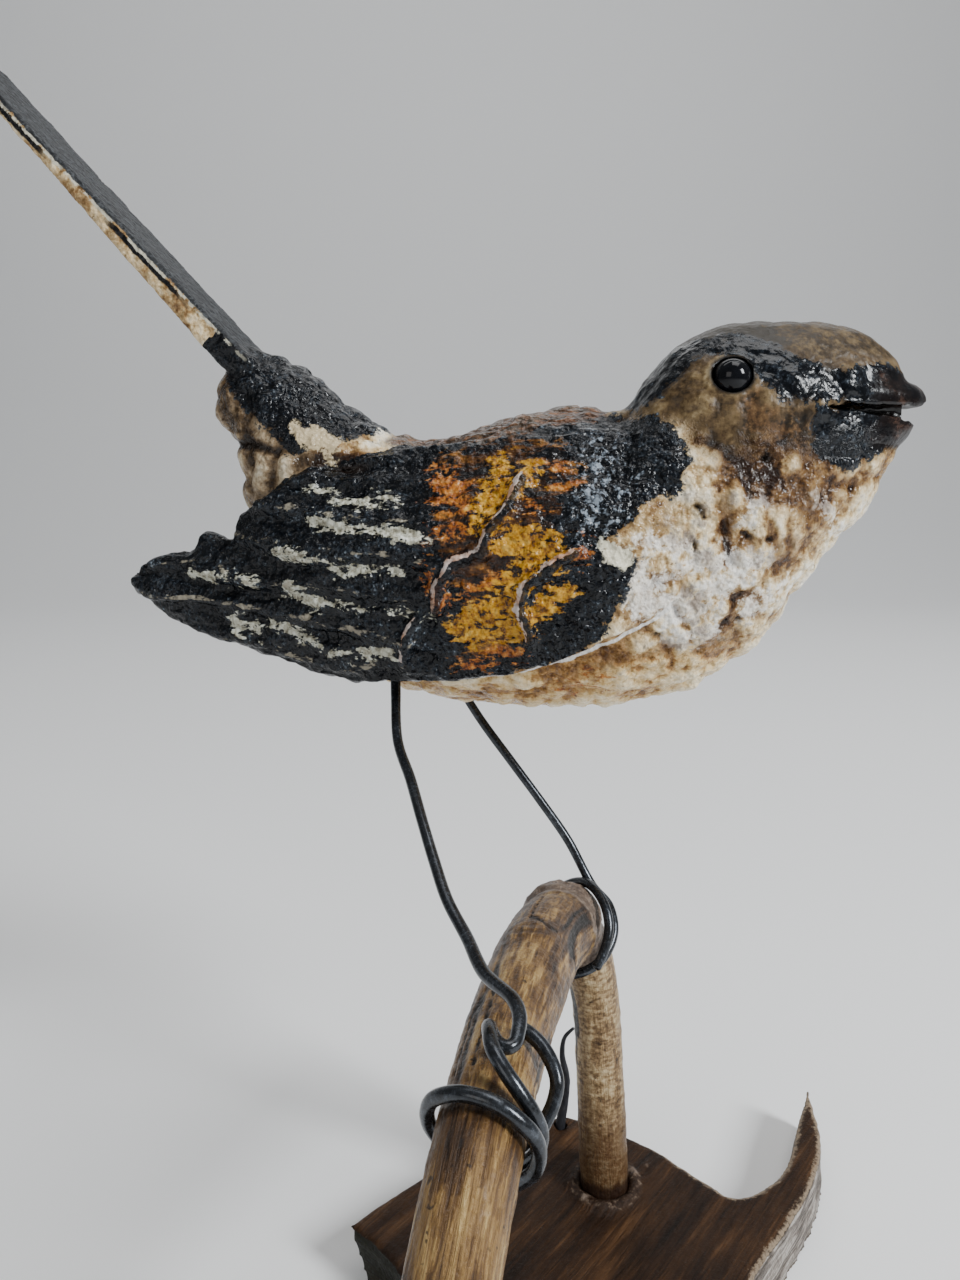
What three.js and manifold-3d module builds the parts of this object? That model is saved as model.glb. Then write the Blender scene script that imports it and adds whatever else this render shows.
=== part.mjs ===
// A carved and painted wren with a cocked tail, standing on wire legs on an arched stick
// whose two feet are set in a free-form wooden base.
// Millimetres, +Z up, the bird's head towards +X, the origin under the middle of the base.

import * as THREE from 'three';
import { mergeVertices } from 'three/addons/utils/BufferGeometryUtils.js';
import Module from 'manifold-3d';

const wasm = await Module();
wasm.setup();

// Fits between the pieces
const GAP = 0.3;
const GLUE_GAP = 0.35;
const LEG_BORE_GAP = 0.65;

// The base
const BASE_HEIGHT = 10;
const RIM_FLARE = 1.3;
const LEFT_UNDERCUT = 4.5;
const HORN = [51, 79];
const LEFT_TIP = [-41, 41];
const BACK_EDGE = [[-35, 47.5], [-20, 60], [-1, 69.5], [13, 62.5], [23, 52], [28, 48], [35, 51.5],
  [40, 57.5], [45, 68]];
const RIM_EDGE = [[50.6, 74], [48.2, 61.5], [43.2, 51.4], [35.3, 40.8], [26.1, 29.7]];
const FRONT_EDGE = [[19.5, 18], [16.5, 4], [17, -12], [18.5, -27], [14.5, -43], [3, -56], [-15, -64],
  [-33, -63], [-45, -52], [-47, -36], [-42, -18], [-34.5, -2], [-30.4, 12], [-29.8, 22], [-31.6, 30.9],
  [-36.5, 37.4]];

// The branch: centre points from foot to foot, and the stick's radius at each
const REAR_LEG = [[4.7, 50.6, 4], [4.2, 51, 18], [3.5, 52.4, 32], [2.5, 52.8, 45], [0.4, 51.7, 55],
  [-2.5, 50.4, 60.5]];
const REAR_LEG_RADII = [4.3, 4.3, 4.2, 4.2, 4.4, 4.6];
const PERCH = [[-3.0, 52, 60.6], [-5.6, 42.5, 63.3], [-8.4, 32.5, 66.1], [-12.6, 12, 69.8],
  [-15.7, -4.9, 71.8], [-17.3, -15.8, 73.4], [-18.8, -24.4, 72.4], [-20.6, -30.2, 66.3],
  [-23.2, -34.4, 52], [-25.6, -37.8, 33], [-27, -39.6, 14], [-27.3, -40, 4]];
const PERCH_RADII = [5.2, 6.3, 6.1, 5.6, 5, 4.65, 4.55, 4.5, 4.4, 4.35, 4.4, 4.4];
const BOSS_CENTRE = [-4.1, 50, 61.4];
const BOSS_RADIUS = 6.7;

// The wire legs
const WIRE_RADIUS = 0.8;
const NEAR_LEG = [[-31.6, 47, 111.5], [-31.5, 46.3, 107.4], [-31.4, 45, 103.3], [-30.6, 38.1, 97.1],
  [-28.1, 30.3, 93.3], [-26.1, 23.6, 89.7], [-24.2, 17.9, 86.2], [-22.2, 11.8, 83.3],
  [-19.6, 5.8, 81.2], [-17.6, -0.6, 80.2]];
const FAR_LEG = [[-27.2, 67.2, 112], [-24.8, 66.6, 104.5], [-21.8, 66, 99.4], [-17.8, 64.8, 93.2],
  [-12.4, 62.6, 86.2], [-7, 60.2, 79.3], [-2.4, 57.4, 73.2]];
// Where the near ring sits along the perch, and its turns as [degrees round, along, lift]
const NEAR_RING_Y = -20;
const NEAR_RING_RADIUS = 5.8;
const NEAR_RING = [[12, -11.4, 2.8], [19, -9.3, 2.3], [22, -7.5, 1.5], [22, -6.3, 0.8], [16, -5.8, 0.4],
  [8, -6.2, 0.3], [0, -7.3, 0.6], [-2, -7, 1.5], [1, -4.9, 2.1], [6, -2.9, 1.9], [18, -1.6, 1.1],
  [37, -0.8, 0.4], [60, -0.6, 0.1], [85, -0.9, 0.1], [110, -1.5, 0], [140, -2.8, 0], [180, -4, 0],
  [225, -3.9, 0], [262, -2.6, 0], [300, -0.9, 0], [337, 0.5, 0], [358, 1, 0], [380, 1.3, 0],
  [403, 1.5, 0], [425, 1.4, 0.1], [450, 1, 0.1], [475, 0.5, 0.2], [500, -0.5, 0.4], [520, -1.8, 1.1],
  [529, -3.6, 1.9], [523, -5.3, 1.8], [508, -6.3, 1.2], [490, -6.9, 0.6], [474, -7.6, 0.5],
  [458, -8.3, 0.8], [442, -9, 1.1], [428, -9.9, 0.9], [411, -11.1, 0.5], [394, -11.6, 0.2],
  [385, -11.5, 0.15]];
// The far ring's turns about its own tilted axis as [degrees round, radius, behind]
const FAR_RING_CENTRE = [-4, 47, 62];
const FAR_RING_AXIS = [0.085, 0.892, -0.444];
const FAR_RING = [[35, 8.7, 5.6], [65, 8.7, 3.8], [95, 8.6, 2.2], [130, 8.2, 0.8], [165, 7.8, 0.4],
  [205, 7.8, 1], [240, 7.7, 3.2], [265, 7.25, 6.4], [290, 6.4, 8.8], [318, 5.8, 9.9], [342, 6.1, 9.6],
  [360, 6.9, 8.3], [375, 7.9, 6], [388, 8.4, 3], [403, 8.2, 0.4], [425, 7.8, -1], [450, 7.6, -1.7],
  [478, 7.7, -2.1], [500, 8.4, -2.6]];

// The thin stem behind the rear foot: centre points and radii
const TENDRIL = [[-2.1, 66.4, 5], [-2.1, 66.4, 10], [-1.4, 66.9, 15], [-1.0, 67.2, 20], [-1.9, 67.1, 25],
  [-1.5, 66.7, 29], [0.2, 66.2, 31.4]];
const TENDRIL_RADII = [0.85, 0.95, 0.85, 0.7, 0.55, 0.4, 0.3];

// The bird, in its own frame: x along the body towards the beak, y across, z up
const BIRD_PLACE = [-5, 52, 0];
const BIRD_YAW = THREE.MathUtils.degToRad(-8);
const BIRD_REAR = -54;
const BIRD_FRONT = 52;
// Upper and lower outline of the body and head, and the half width, at stations along x
const TOP = [[-54, 150], [-52.6, 156], [-50.6, 158], [-47.8, 156.4], [-44.4, 155.4], [-39.8, 152.3],
  [-36.4, 149.1], [-31.7, 145.8], [-25.5, 142.7], [-18.2, 142.9], [-6.7, 146.2], [3.6, 147.4],
  [9.6, 147.3], [13.1, 151.6], [15.5, 154.6], [18.9, 157.4], [23.5, 159.2], [30.5, 159.9],
  [41.5, 159], [45.9, 157.3], [49.4, 154.1], [51.5, 150.6], [52, 147.5]];
const BOTTOM = [[-54, 148], [-52, 139], [-49.7, 131], [-46, 121], [-40, 112], [-33, 105.6],
  [-26.7, 102.3], [-16.5, 100], [-3, 99.4], [8.8, 100.3], [16.7, 101.9], [22.4, 104.1],
  [27.5, 107.6], [31.4, 111], [35.7, 117.5], [40.1, 123.9], [45.1, 130.4], [48.5, 136.4],
  [50.6, 141.2], [52, 145.5]];
const HALF_WIDTH = [[-54, 4.5], [-52, 7.5], [-48, 9.5], [-42, 11.6], [-34, 14], [-25, 16.2], [-12, 17.8],
  [0, 18.3], [10, 17.9], [20, 16.6], [28, 15.3], [35, 13.2], [40, 10.6], [44, 8.4], [48, 6],
  [50.5, 3.8], [52, 1.6]];
const NECK_X = 10;
const NECK_Z = 146;
const NECK_SLOPE = -0.26;
const NECK_PINCH = 0.1;
const NECK_SPREAD = 4.5;

// Each wing: lower and upper edge at stations along x, and how far out a free blade stands
const WING_FRONT = 19;
const WING_TIP = -69.8;
const WING_LOWER = [[-69.8, 119.4], [-67, 116.8], [-62.5, 113.8], [-53.8, 110.9], [-44.4, 108.3],
  [-34.3, 105.7], [-24.6, 105.7], [-15.2, 106.5], [-1.6, 109], [7.3, 113.2], [16.1, 118], [19, 121.5]];
const WING_UPPER = [[-69.8, 120.9], [-67, 122.5], [-62.6, 124.4], [-58.6, 124.6], [-57.3, 127.2],
  [-55.2, 127.6], [-52.6, 126.8], [-50.6, 127.4], [-50, 130.4], [-46, 132.9], [-37, 138], [-24, 140.8],
  [-6, 142.8], [6, 142.4], [13, 138.6], [17.4, 131.6], [19, 125.5]];
const BLADE_OUT = [[-69.8, 9.8], [-45, 14], [-30, 16.6], [-15, 17.6], [0, 17], [10, 15.4], [19, 12.8]];
const WING_RAISE = 1.7;
const BLADE_THICKNESS = 3.2;
const FEATHER_PITCH = 5.7;
const FEATHER_DEPTH = 0.85;
const FEATHER_LOWEST = 112.2;
const FEATHER_SLOPE = 0.1;
const FEATHER_FRONT = -14;
const COVERT_RIDGES = [
  [[-4.6, 136], [-6.6, 132], [-8.9, 129.4], [-9.9, 126.2], [-14.4, 124.4], [-16.3, 121.2], [-16.6, 117.6]],
  [[3.4, 126.4], [-0.8, 124], [-3.7, 121.6], [-4.4, 118.2], [-2.8, 113.6]],
  [[-19.6, 116.4], [-21.4, 113.4], [-21.9, 109.8]],
];
const RIDGE_HALF_WIDTH = 0.95;

// Tail board: where its centre line leaves the body, how steep it rises, and its section
const TAIL_ROOT = [-40, 142.3];
const TAIL_SLOPE = THREE.MathUtils.degToRad(47.4);
const TAIL_LENGTH = 88;
const TAIL_THICKNESS = [[0, 6.4], [19, 4.7], [40, 3.5], [66, 2.4], [88, 1.9]];
const TAIL_HALF_WIDTH = [[0, 5.5], [20, 6.6], [50, 7.4], [80, 8], [88, 7]];
const TAIL_CROWN = 0.12;

// Lumps of the rump under the tail: centre and radii
const RUMP_LUMPS = [
  { centre: [-50.6, 0, 148.6], radii: [6, 8.2, 6.6] },
  { centre: [-45.4, 0, 135], radii: [6.6, 10.4, 5.8] },
];

// Bill: the two halves' outlines in the side view, the half width, and the gap of the mouth
const BILL_BACK = 34;
const BILL_TIP = 54.7;
const UPPER_BILL_TOP = [[34, 151.5], [44, 151.6], [51, 150.9], [53.6, 150.2], [54.7, 149.2]];
const LOWER_BILL_BOTTOM = [[34, 142.6], [44, 141.4], [50, 140.9], [52.2, 142], [53.4, 143.4]];
const LOWER_BILL_TIP = 53.4;
const BILL_HALF_WIDTH = [[34, 9.8], [38, 9.5], [44, 7.9], [50, 4.9], [53, 2.8], [54.7, 1]];
const BILL_ROUND = 0.45;
const MOUTH_Z = 146.9;
const MOUTH_CORNER = 37.6;
const MOUTH_GAPE = [[37.6, 0.5], [45, 1.2], [51, 2], [56, 3.4]];
const MOUTH_ROOF = 0.25;
const MOUTH_ACROSS = 26;

// Bead eyes
const EYE_PLACE = [24.9, 10.4, 150.8];
const EYE_RADIUS = 2.75;

// How finely the faceted shapes are divided
const BODY_STATIONS = 34;
const BODY_SIDES = 18;
const WING_STATIONS = 20;
const WING_ROWS = 13;

// A smooth curve through [place, value] keys, level beyond its ends
function keyed(keys) {
  return (place) => {
    const last = keys.length - 1;
    if (place <= keys[0][0]) return keys[0][1];
    if (place >= keys[last][0]) return keys[last][1];
    let i = 0;
    while (place > keys[i + 1][0]) i += 1;
    const slopeAt = (k) => {
      const before = keys[Math.max(k - 1, 0)];
      const after = keys[Math.min(k + 1, last)];
      return (after[1] - before[1]) / (after[0] - before[0]);
    };
    const span = keys[i + 1][0] - keys[i][0];
    const t = (place - keys[i][0]) / span;
    const rise = (2 * t ** 3 - 3 * t ** 2 + 1) * keys[i][1] + (3 * t ** 2 - 2 * t ** 3) * keys[i + 1][1];
    const bend = (t ** 3 - 2 * t ** 2 + t) * slopeAt(i) + (t ** 3 - t ** 2) * slopeAt(i + 1);
    return rise + bend * span;
  };
}

function vector(point) {
  return new THREE.Vector3(...point);
}

// Moves every vertex of a closed geometry to the place that the rule gives
function shaped(geometry, rule) {
  const places = geometry.attributes.position;
  for (let i = 0; i < places.count; i += 1) {
    const moved = rule(places.getX(i), places.getY(i), places.getZ(i));
    places.setXYZ(i, ...moved);
  }
  return geometry;
}

function toSolid(geometry) {
  const bare = geometry.clone();
  bare.deleteAttribute('normal');
  bare.deleteAttribute('uv');
  const merged = mergeVertices(bare, 1e-4);
  const mesh = new wasm.Mesh({
    numProp: 3,
    vertProperties: new Float32Array(merged.attributes.position.array),
    triVerts: new Uint32Array(merged.index.array),
  });
  return new wasm.Manifold(mesh);
}

function toGeometry(solid) {
  const mesh = solid.getMesh();
  const geometry = new THREE.BufferGeometry();
  geometry.setAttribute('position', new THREE.BufferAttribute(mesh.vertProperties, 3));
  geometry.setIndex(new THREE.BufferAttribute(mesh.triVerts, 1));
  geometry.computeVertexNormals();
  return geometry;
}

// Fills any closed pocket that joined shapes leave between them
function filled(solid) {
  return solid.decompose().reduce((best, shell) => (shell.volume() > best.volume() ? shell : best));
}

// A round bar along a smooth curve, with the radius keyed at the curve's own points
function taperedBar(points, radii, sides, steps) {
  const curve = new THREE.CatmullRomCurve3(points.map(vector), false, 'centripetal');
  const radiusAt = keyed(radii.map((radius, i) => [i / (radii.length - 1), radius]));
  const frames = [];
  let across = new THREE.Vector3(1, 0, 0);
  for (let i = 0; i <= steps; i += 1) {
    const along = curve.getTangent(i / steps);
    across = across.clone().addScaledVector(along, -across.dot(along)).normalize();
    frames.push({
      centre: curve.getPoint(i / steps),
      across,
      other: new THREE.Vector3().crossVectors(along, across),
      radius: radiusAt(i / steps),
    });
  }
  const blank = new THREE.CylinderGeometry(1, 1, 1, sides, steps);
  return shaped(blank, (x, y, z) => {
    const frame = frames[Math.round((0.5 - y) * steps)];
    return frame.centre.clone()
      .addScaledVector(frame.across, x * frame.radius)
      .addScaledVector(frame.other, z * frame.radius)
      .toArray();
  });
}

function ball(centre, radii, across, around) {
  const blank = new THREE.SphereGeometry(1, around, across);
  return shaped(blank, (x, y, z) => [
    centre[0] + radii[0] * x,
    centre[1] + radii[1] * y,
    centre[2] + radii[2] * z,
  ]);
}

// The base: a free-form outline, flared out under the round rim and cut under on the left
function makeBase() {
  const outline = new THREE.Shape();
  outline.moveTo(...LEFT_TIP);
  outline.splineThru(BACK_EDGE.map((point) => new THREE.Vector2(...point)));
  outline.lineTo(...HORN);
  outline.splineThru([...RIM_EDGE, ...FRONT_EDGE].map((point) => new THREE.Vector2(...point)));
  outline.lineTo(...LEFT_TIP);
  const slab = new THREE.ExtrudeGeometry(outline, {
    depth: BASE_HEIGHT,
    steps: 2,
    bevelEnabled: false,
    curveSegments: 3,
  });
  const centre = new THREE.Vector2(0, 8);
  shaped(slab, (x, y, z) => {
    const below = 1 - z / BASE_HEIGHT;
    const outward = new THREE.Vector2(x, y).sub(centre).normalize();
    const right = THREE.MathUtils.smoothstep(x, 0, 30) * THREE.MathUtils.smoothstep(y, -60, 10);
    const left = 1 - THREE.MathUtils.smoothstep(x, -34, 0);
    const flare = right * RIM_FLARE * below - left * LEFT_UNDERCUT * below;
    return [x + outward.x * flare, y + outward.y * flare, z];
  });
  let solid = toSolid(slab);
  const feet = [[REAR_LEG, REAR_LEG_RADII[0]], [PERCH.slice().reverse(), PERCH_RADII.at(-1)]];
  for (const [points, radius] of feet) {
    const hole = taperedBar(points.slice(0, 3), [radius + GLUE_GAP, radius + GLUE_GAP, radius + GLUE_GAP], 18, 6);
    const drill = hole.translate(0, 0, -GLUE_GAP);
    solid = solid.subtract(toSolid(drill));
  }
  const stemRadius = TENDRIL_RADII[1] + GAP;
  const stemHole = taperedBar(TENDRIL.slice(0, 3), [stemRadius, stemRadius, stemRadius], 10, 2);
  return toGeometry(solid.subtract(toSolid(stemHole.translate(0, 0, -GAP))));
}

function makeBranch() {
  const perch = toSolid(taperedBar(PERCH, PERCH_RADII, 11, 26));
  const rearLeg = toSolid(taperedBar(REAR_LEG, REAR_LEG_RADII, 11, 10));
  const boss = toSolid(ball(BOSS_CENTRE, [BOSS_RADIUS, BOSS_RADIUS, BOSS_RADIUS], 8, 12));
  return toGeometry(perch.add(rearLeg).add(boss));
}

// The half width of the body at a point of the side view, zero outside the outline
const topAt = keyed(TOP);
const bottomAt = keyed(BOTTOM);
const halfWidthAt = keyed(HALF_WIDTH);

function bodyHalf(x, z) {
  const middle = (topAt(x) + bottomAt(x)) / 2;
  const reach = (topAt(x) - bottomAt(x)) / 2;
  const height = (z - middle) / reach;
  if (Math.abs(height) >= 1) return 0;
  const neck = (z - NECK_Z - NECK_SLOPE * (x - NECK_X)) / NECK_SPREAD;
  const pinch = NECK_PINCH * Math.exp(-neck * neck) * THREE.MathUtils.smoothstep(x, 2, 18);
  return halfWidthAt(x) * (1 - pinch) * Math.sqrt(1 - height * height);
}

function makeBody() {
  const blank = new THREE.SphereGeometry(1, BODY_SIDES, BODY_STATIONS);
  const length = BIRD_FRONT - BIRD_REAR;
  return shaped(blank, (x, y, z) => {
    const station = BIRD_REAR + length * Math.acos(THREE.MathUtils.clamp(y, -1, 1)) / Math.PI;
    const ring = Math.hypot(x, z);
    const middle = (topAt(station) + bottomAt(station)) / 2;
    if (ring < 1e-6) return [station, 0, middle];
    const reach = (topAt(station) - bottomAt(station)) / 2;
    const height = middle + reach * (z / ring) * (1 - 1e-9);
    return [station, Math.sign(x) * bodyHalf(station, height), height];
  });
}

const wingLower = keyed(WING_LOWER);
const wingUpper = keyed(WING_UPPER);
const bladeOut = keyed(BLADE_OUT);

// The outer face of a wing over a point of the side view
function wingFace(x, z) {
  const low = wingLower(x);
  const high = wingUpper(x);
  const across = THREE.MathUtils.clamp((z - low) / (high - low), 0, 1);
  const nearBack = THREE.MathUtils.smoothstep(across, 0.6, 1) * THREE.MathUtils.smoothstep(x, -46, -34);
  const nearFront = THREE.MathUtils.smoothstep(x, 8, WING_FRONT);
  const raise = WING_RAISE * (1 - 0.85 * Math.max(nearBack, nearFront));
  const onBody = bodyHalf(x, z) + raise;
  const blade = bladeOut(x) * (1 - 0.45 * nearBack) - 1.2 * (2 * across - 1) ** 2;
  const soft = 3;
  const lead = (onBody - blade) / soft;
  return blade + soft * Math.log(1 + Math.exp(lead)) - soft * 0.12;
}

function featherRelief(x, z) {
  const count = (z + FEATHER_SLOPE * (x + 30) - FEATHER_LOWEST) / FEATHER_PITCH;
  const step = count - Math.floor(count);
  const shingle = step < 0.35 ? step / 0.35 : (1 - step) / 0.65;
  const fade = 1 - THREE.MathUtils.smoothstep(x, FEATHER_FRONT - 6, FEATHER_FRONT);
  const top = 1 - THREE.MathUtils.smoothstep(z, 134, 139);
  return FEATHER_DEPTH * (shingle - 0.5) * fade * top;
}

function makeWing(side) {
  const blank = new THREE.BoxGeometry(1, 1, 1, WING_STATIONS, 1, WING_ROWS);
  const wing = shaped(blank, (px, py, pz) => {
    const x = WING_TIP + (WING_FRONT - WING_TIP) * (px + 0.5);
    const z = THREE.MathUtils.lerp(wingLower(x), wingUpper(x), pz + 0.5);
    const face = wingFace(x, z);
    const tipFade = THREE.MathUtils.smoothstep(x, WING_TIP - 6, WING_TIP + 18);
    const edge = 1 - 0.5 * (2 * pz) ** 4;
    if (py > 0) return [x, face + featherRelief(x, z) * edge, z];
    return [x, face - BLADE_THICKNESS * (0.5 + 0.5 * tipFade), z];
  });
  let solid = toSolid(wing);
  for (const ridge of COVERT_RIDGES) {
    const points = ridge.map(([x, z]) => [x, wingFace(x, z) - 0.15, z]);
    const middle = ridge.length - 1;
    const radii = points.map((point, i) => RIDGE_HALF_WIDTH * (0.55 + 0.45 * Math.sin(Math.PI * i / middle)));
    solid = solid.add(toSolid(taperedBar(points, radii, 5, points.length + 1)));
  }
  return side > 0 ? solid : solid.mirror([0, 1, 0]);
}

function makeTail() {
  const thickness = keyed(TAIL_THICKNESS);
  const width = keyed(TAIL_HALF_WIDTH);
  const blank = new THREE.BoxGeometry(1, 1, 1, 9, 4, 1);
  return shaped(blank, (px, py, pz) => {
    const along = TAIL_LENGTH * (px + 0.5);
    const crown = pz > 0 ? 1 - TAIL_CROWN * (2 * py) ** 2 : 1;
    const up = thickness(along) * pz * crown;
    return [
      TAIL_ROOT[0] - along * Math.cos(TAIL_SLOPE) + up * Math.sin(TAIL_SLOPE),
      -2 * py * width(along),
      TAIL_ROOT[1] + along * Math.sin(TAIL_SLOPE) + up * Math.cos(TAIL_SLOPE),
    ];
  });
}

// One half of the bill, between its lower and upper edge in the side view
function makeBillHalf(lower, upper, tip) {
  const half = keyed(BILL_HALF_WIDTH);
  const blank = new THREE.BoxGeometry(1, 1, 1, 6, 4, 2);
  return shaped(blank, (px, py, pz) => {
    const x = BILL_BACK + (tip - BILL_BACK) * (px + 0.5);
    const round = 1 - BILL_ROUND * (2 * py) ** 2;
    const fromMouth = Math.abs(THREE.MathUtils.lerp(lower(x), upper(x), pz + 0.5) - MOUTH_Z);
    const side = upper(x) > MOUTH_Z ? 1 : -1;
    return [x, 2 * py * half(x + BILL_TIP - tip), MOUTH_Z + side * fromMouth * round];
  });
}

function makeMouth() {
  const gape = keyed(MOUTH_GAPE);
  const front = MOUTH_GAPE.at(-1)[0];
  const blank = new THREE.BoxGeometry(1, 1, 1, 5, 1, 1);
  return shaped(blank, (px, py, pz) => {
    const x = MOUTH_CORNER + (front - MOUTH_CORNER) * (px + 0.5);
    return [x, MOUTH_ACROSS * py, MOUTH_Z + MOUTH_ROOF - gape(x) * (0.5 - pz)];
  });
}

function makeBird(frame) {
  const level = () => MOUTH_Z;
  let solid = toSolid(makeBody());
  for (const lump of RUMP_LUMPS) {
    solid = solid.add(toSolid(ball(lump.centre, lump.radii, 8, 12)));
  }
  solid = solid.add(toSolid(makeTail()));
  solid = solid.add(makeWing(1)).add(makeWing(-1));
  solid = solid.add(toSolid(makeBillHalf(level, keyed(UPPER_BILL_TOP), BILL_TIP)));
  solid = solid.add(toSolid(makeBillHalf(keyed(LOWER_BILL_BOTTOM), level, LOWER_BILL_TIP)));
  solid = filled(solid).subtract(toSolid(makeMouth()));
  for (const side of [-1, 1]) {
    const socket = EYE_RADIUS + GAP;
    const place = [EYE_PLACE[0], side * EYE_PLACE[1], EYE_PLACE[2]];
    solid = solid.subtract(toSolid(ball(place, [socket, socket, socket], 10, 16)));
  }
  for (const leg of [NEAR_LEG, FAR_LEG]) {
    const route = leg.slice(0, 3).map((point) => frame.worldToLocal(vector(point)).toArray());
    route.unshift([route[0][0], route[0][1], route[0][2] + GAP]);
    const bore = route.map(() => WIRE_RADIUS + LEG_BORE_GAP);
    solid = solid.subtract(toSolid(taperedBar(route, bore, 10, 6)));
  }
  return toGeometry(solid);
}

// The near wire: its leg, then the turns laid round the perch
function nearWireRoute() {
  const perch = new THREE.CatmullRomCurve3(PERCH.map(vector), false, 'centripetal');
  const length = perch.getLength();
  const samples = 400;
  let ringAt = 0;
  for (let i = 0; i <= samples; i += 1) {
    const point = perch.getPointAt(i / samples);
    if (point.y > NEAR_RING_Y) ringAt = i * length / samples;
  }
  const turns = NEAR_RING.map(([degrees, along, lift]) => {
    const place = (ringAt + along) / length;
    const tangent = perch.getTangentAt(place);
    const up = new THREE.Vector3(0, 0, 1).addScaledVector(tangent, -tangent.z).normalize();
    const right = new THREE.Vector3().crossVectors(up, tangent).normalize();
    const radius = NEAR_RING_RADIUS + lift;
    const angle = THREE.MathUtils.degToRad(degrees);
    return perch.getPointAt(place)
      .addScaledVector(up, radius * Math.cos(angle))
      .addScaledVector(right, radius * Math.sin(angle))
      .toArray();
  });
  return [...NEAR_LEG, ...turns];
}

// The far wire: its leg, then the turns about the tilted axis round the knee
function farWireRoute() {
  const axis = vector(FAR_RING_AXIS).normalize();
  const right = new THREE.Vector3().crossVectors(axis, new THREE.Vector3(0, 0, 1)).normalize();
  const up = new THREE.Vector3().crossVectors(right, axis);
  const turns = FAR_RING.map(([degrees, radius, behind]) => {
    const angle = THREE.MathUtils.degToRad(degrees);
    return vector(FAR_RING_CENTRE)
      .addScaledVector(right, radius * Math.sin(angle))
      .addScaledVector(up, radius * Math.cos(angle))
      .addScaledVector(axis, behind)
      .toArray();
  });
  return [...FAR_LEG, ...turns];
}

function makeWire(route) {
  return taperedBar(route, route.map(() => WIRE_RADIUS), 6, 2 * (route.length - 1));
}

const woodDark = new THREE.MeshStandardMaterial({ color: 0x3a2a1e, roughness: 0.62, metalness: 0 });
const bark = new THREE.MeshStandardMaterial({ color: 0x7a5a37, roughness: 0.7, metalness: 0 });
const paint = new THREE.MeshStandardMaterial({ color: 0x2c3036, roughness: 0.45, metalness: 0 });
const steel = new THREE.MeshStandardMaterial({ color: 0x44474c, roughness: 0.4, metalness: 0.9 });
const bead = new THREE.MeshStandardMaterial({ color: 0x060607, roughness: 0.08, metalness: 0 });
const stem = new THREE.MeshStandardMaterial({ color: 0x17181b, roughness: 0.7, metalness: 0 });

function named(name, geometry, material) {
  const mesh = new THREE.Mesh(geometry, material);
  mesh.name = name;
  return mesh;
}

const birdFrame = new THREE.Group();
birdFrame.position.set(...BIRD_PLACE);
birdFrame.rotation.z = BIRD_YAW;
birdFrame.updateMatrixWorld();
birdFrame.add(named('bird', makeBird(birdFrame), paint));
const beadRadii = [EYE_RADIUS, EYE_RADIUS, EYE_RADIUS];
for (const [name, side] of [['near_eye', -1], ['far_eye', 1]]) {
  const eye = named(name, ball([0, 0, 0], beadRadii, 8, 10), bead.clone());
  eye.position.set(EYE_PLACE[0], side * EYE_PLACE[1], EYE_PLACE[2]);
  birdFrame.add(eye);
}

const group = new THREE.Group();
group.add(named('base', makeBase(), woodDark));
group.add(named('branch', makeBranch(), bark));
group.add(birdFrame);
group.add(named('near_leg_wire', makeWire(nearWireRoute()), steel));
group.add(named('far_leg_wire', makeWire(farWireRoute()), steel.clone()));
group.add(named('tendril', taperedBar(TENDRIL, TENDRIL_RADII, 6, 10), stem));

export default group;
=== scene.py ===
import math

import bpy
import numpy as np
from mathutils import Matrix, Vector


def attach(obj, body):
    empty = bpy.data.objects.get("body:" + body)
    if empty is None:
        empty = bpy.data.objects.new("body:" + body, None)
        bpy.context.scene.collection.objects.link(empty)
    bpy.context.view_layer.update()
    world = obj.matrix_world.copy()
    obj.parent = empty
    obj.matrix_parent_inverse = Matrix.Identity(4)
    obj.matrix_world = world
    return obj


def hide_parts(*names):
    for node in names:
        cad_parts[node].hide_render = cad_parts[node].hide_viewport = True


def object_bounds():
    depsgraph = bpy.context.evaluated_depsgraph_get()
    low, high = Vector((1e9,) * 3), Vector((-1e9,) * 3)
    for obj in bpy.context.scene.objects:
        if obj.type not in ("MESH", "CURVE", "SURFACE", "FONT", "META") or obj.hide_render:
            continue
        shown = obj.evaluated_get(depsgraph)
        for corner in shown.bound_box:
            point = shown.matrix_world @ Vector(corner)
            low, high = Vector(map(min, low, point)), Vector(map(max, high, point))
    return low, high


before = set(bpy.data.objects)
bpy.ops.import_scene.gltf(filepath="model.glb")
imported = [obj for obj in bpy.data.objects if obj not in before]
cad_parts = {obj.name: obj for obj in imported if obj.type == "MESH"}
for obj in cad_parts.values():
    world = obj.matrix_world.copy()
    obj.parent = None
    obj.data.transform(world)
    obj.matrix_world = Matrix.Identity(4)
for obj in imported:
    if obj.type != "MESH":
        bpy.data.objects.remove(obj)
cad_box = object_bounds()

# A carved and painted wren on wire legs, on an arched stick in a free-form wooden base.
# Shapes are worked out in millimetres, with the same outlines as the solids, and stored in metres.

MM = 0.001
BOX_LOW = np.array(cad_box[0]) / MM
BOX_HIGH = np.array(cad_box[1]) / MM
BOX_INSET = 0.03


def table(width, *numbers):
    """A list of rows from numbers in a line."""
    return np.reshape(numbers, (-1, width)).tolist()


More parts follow.
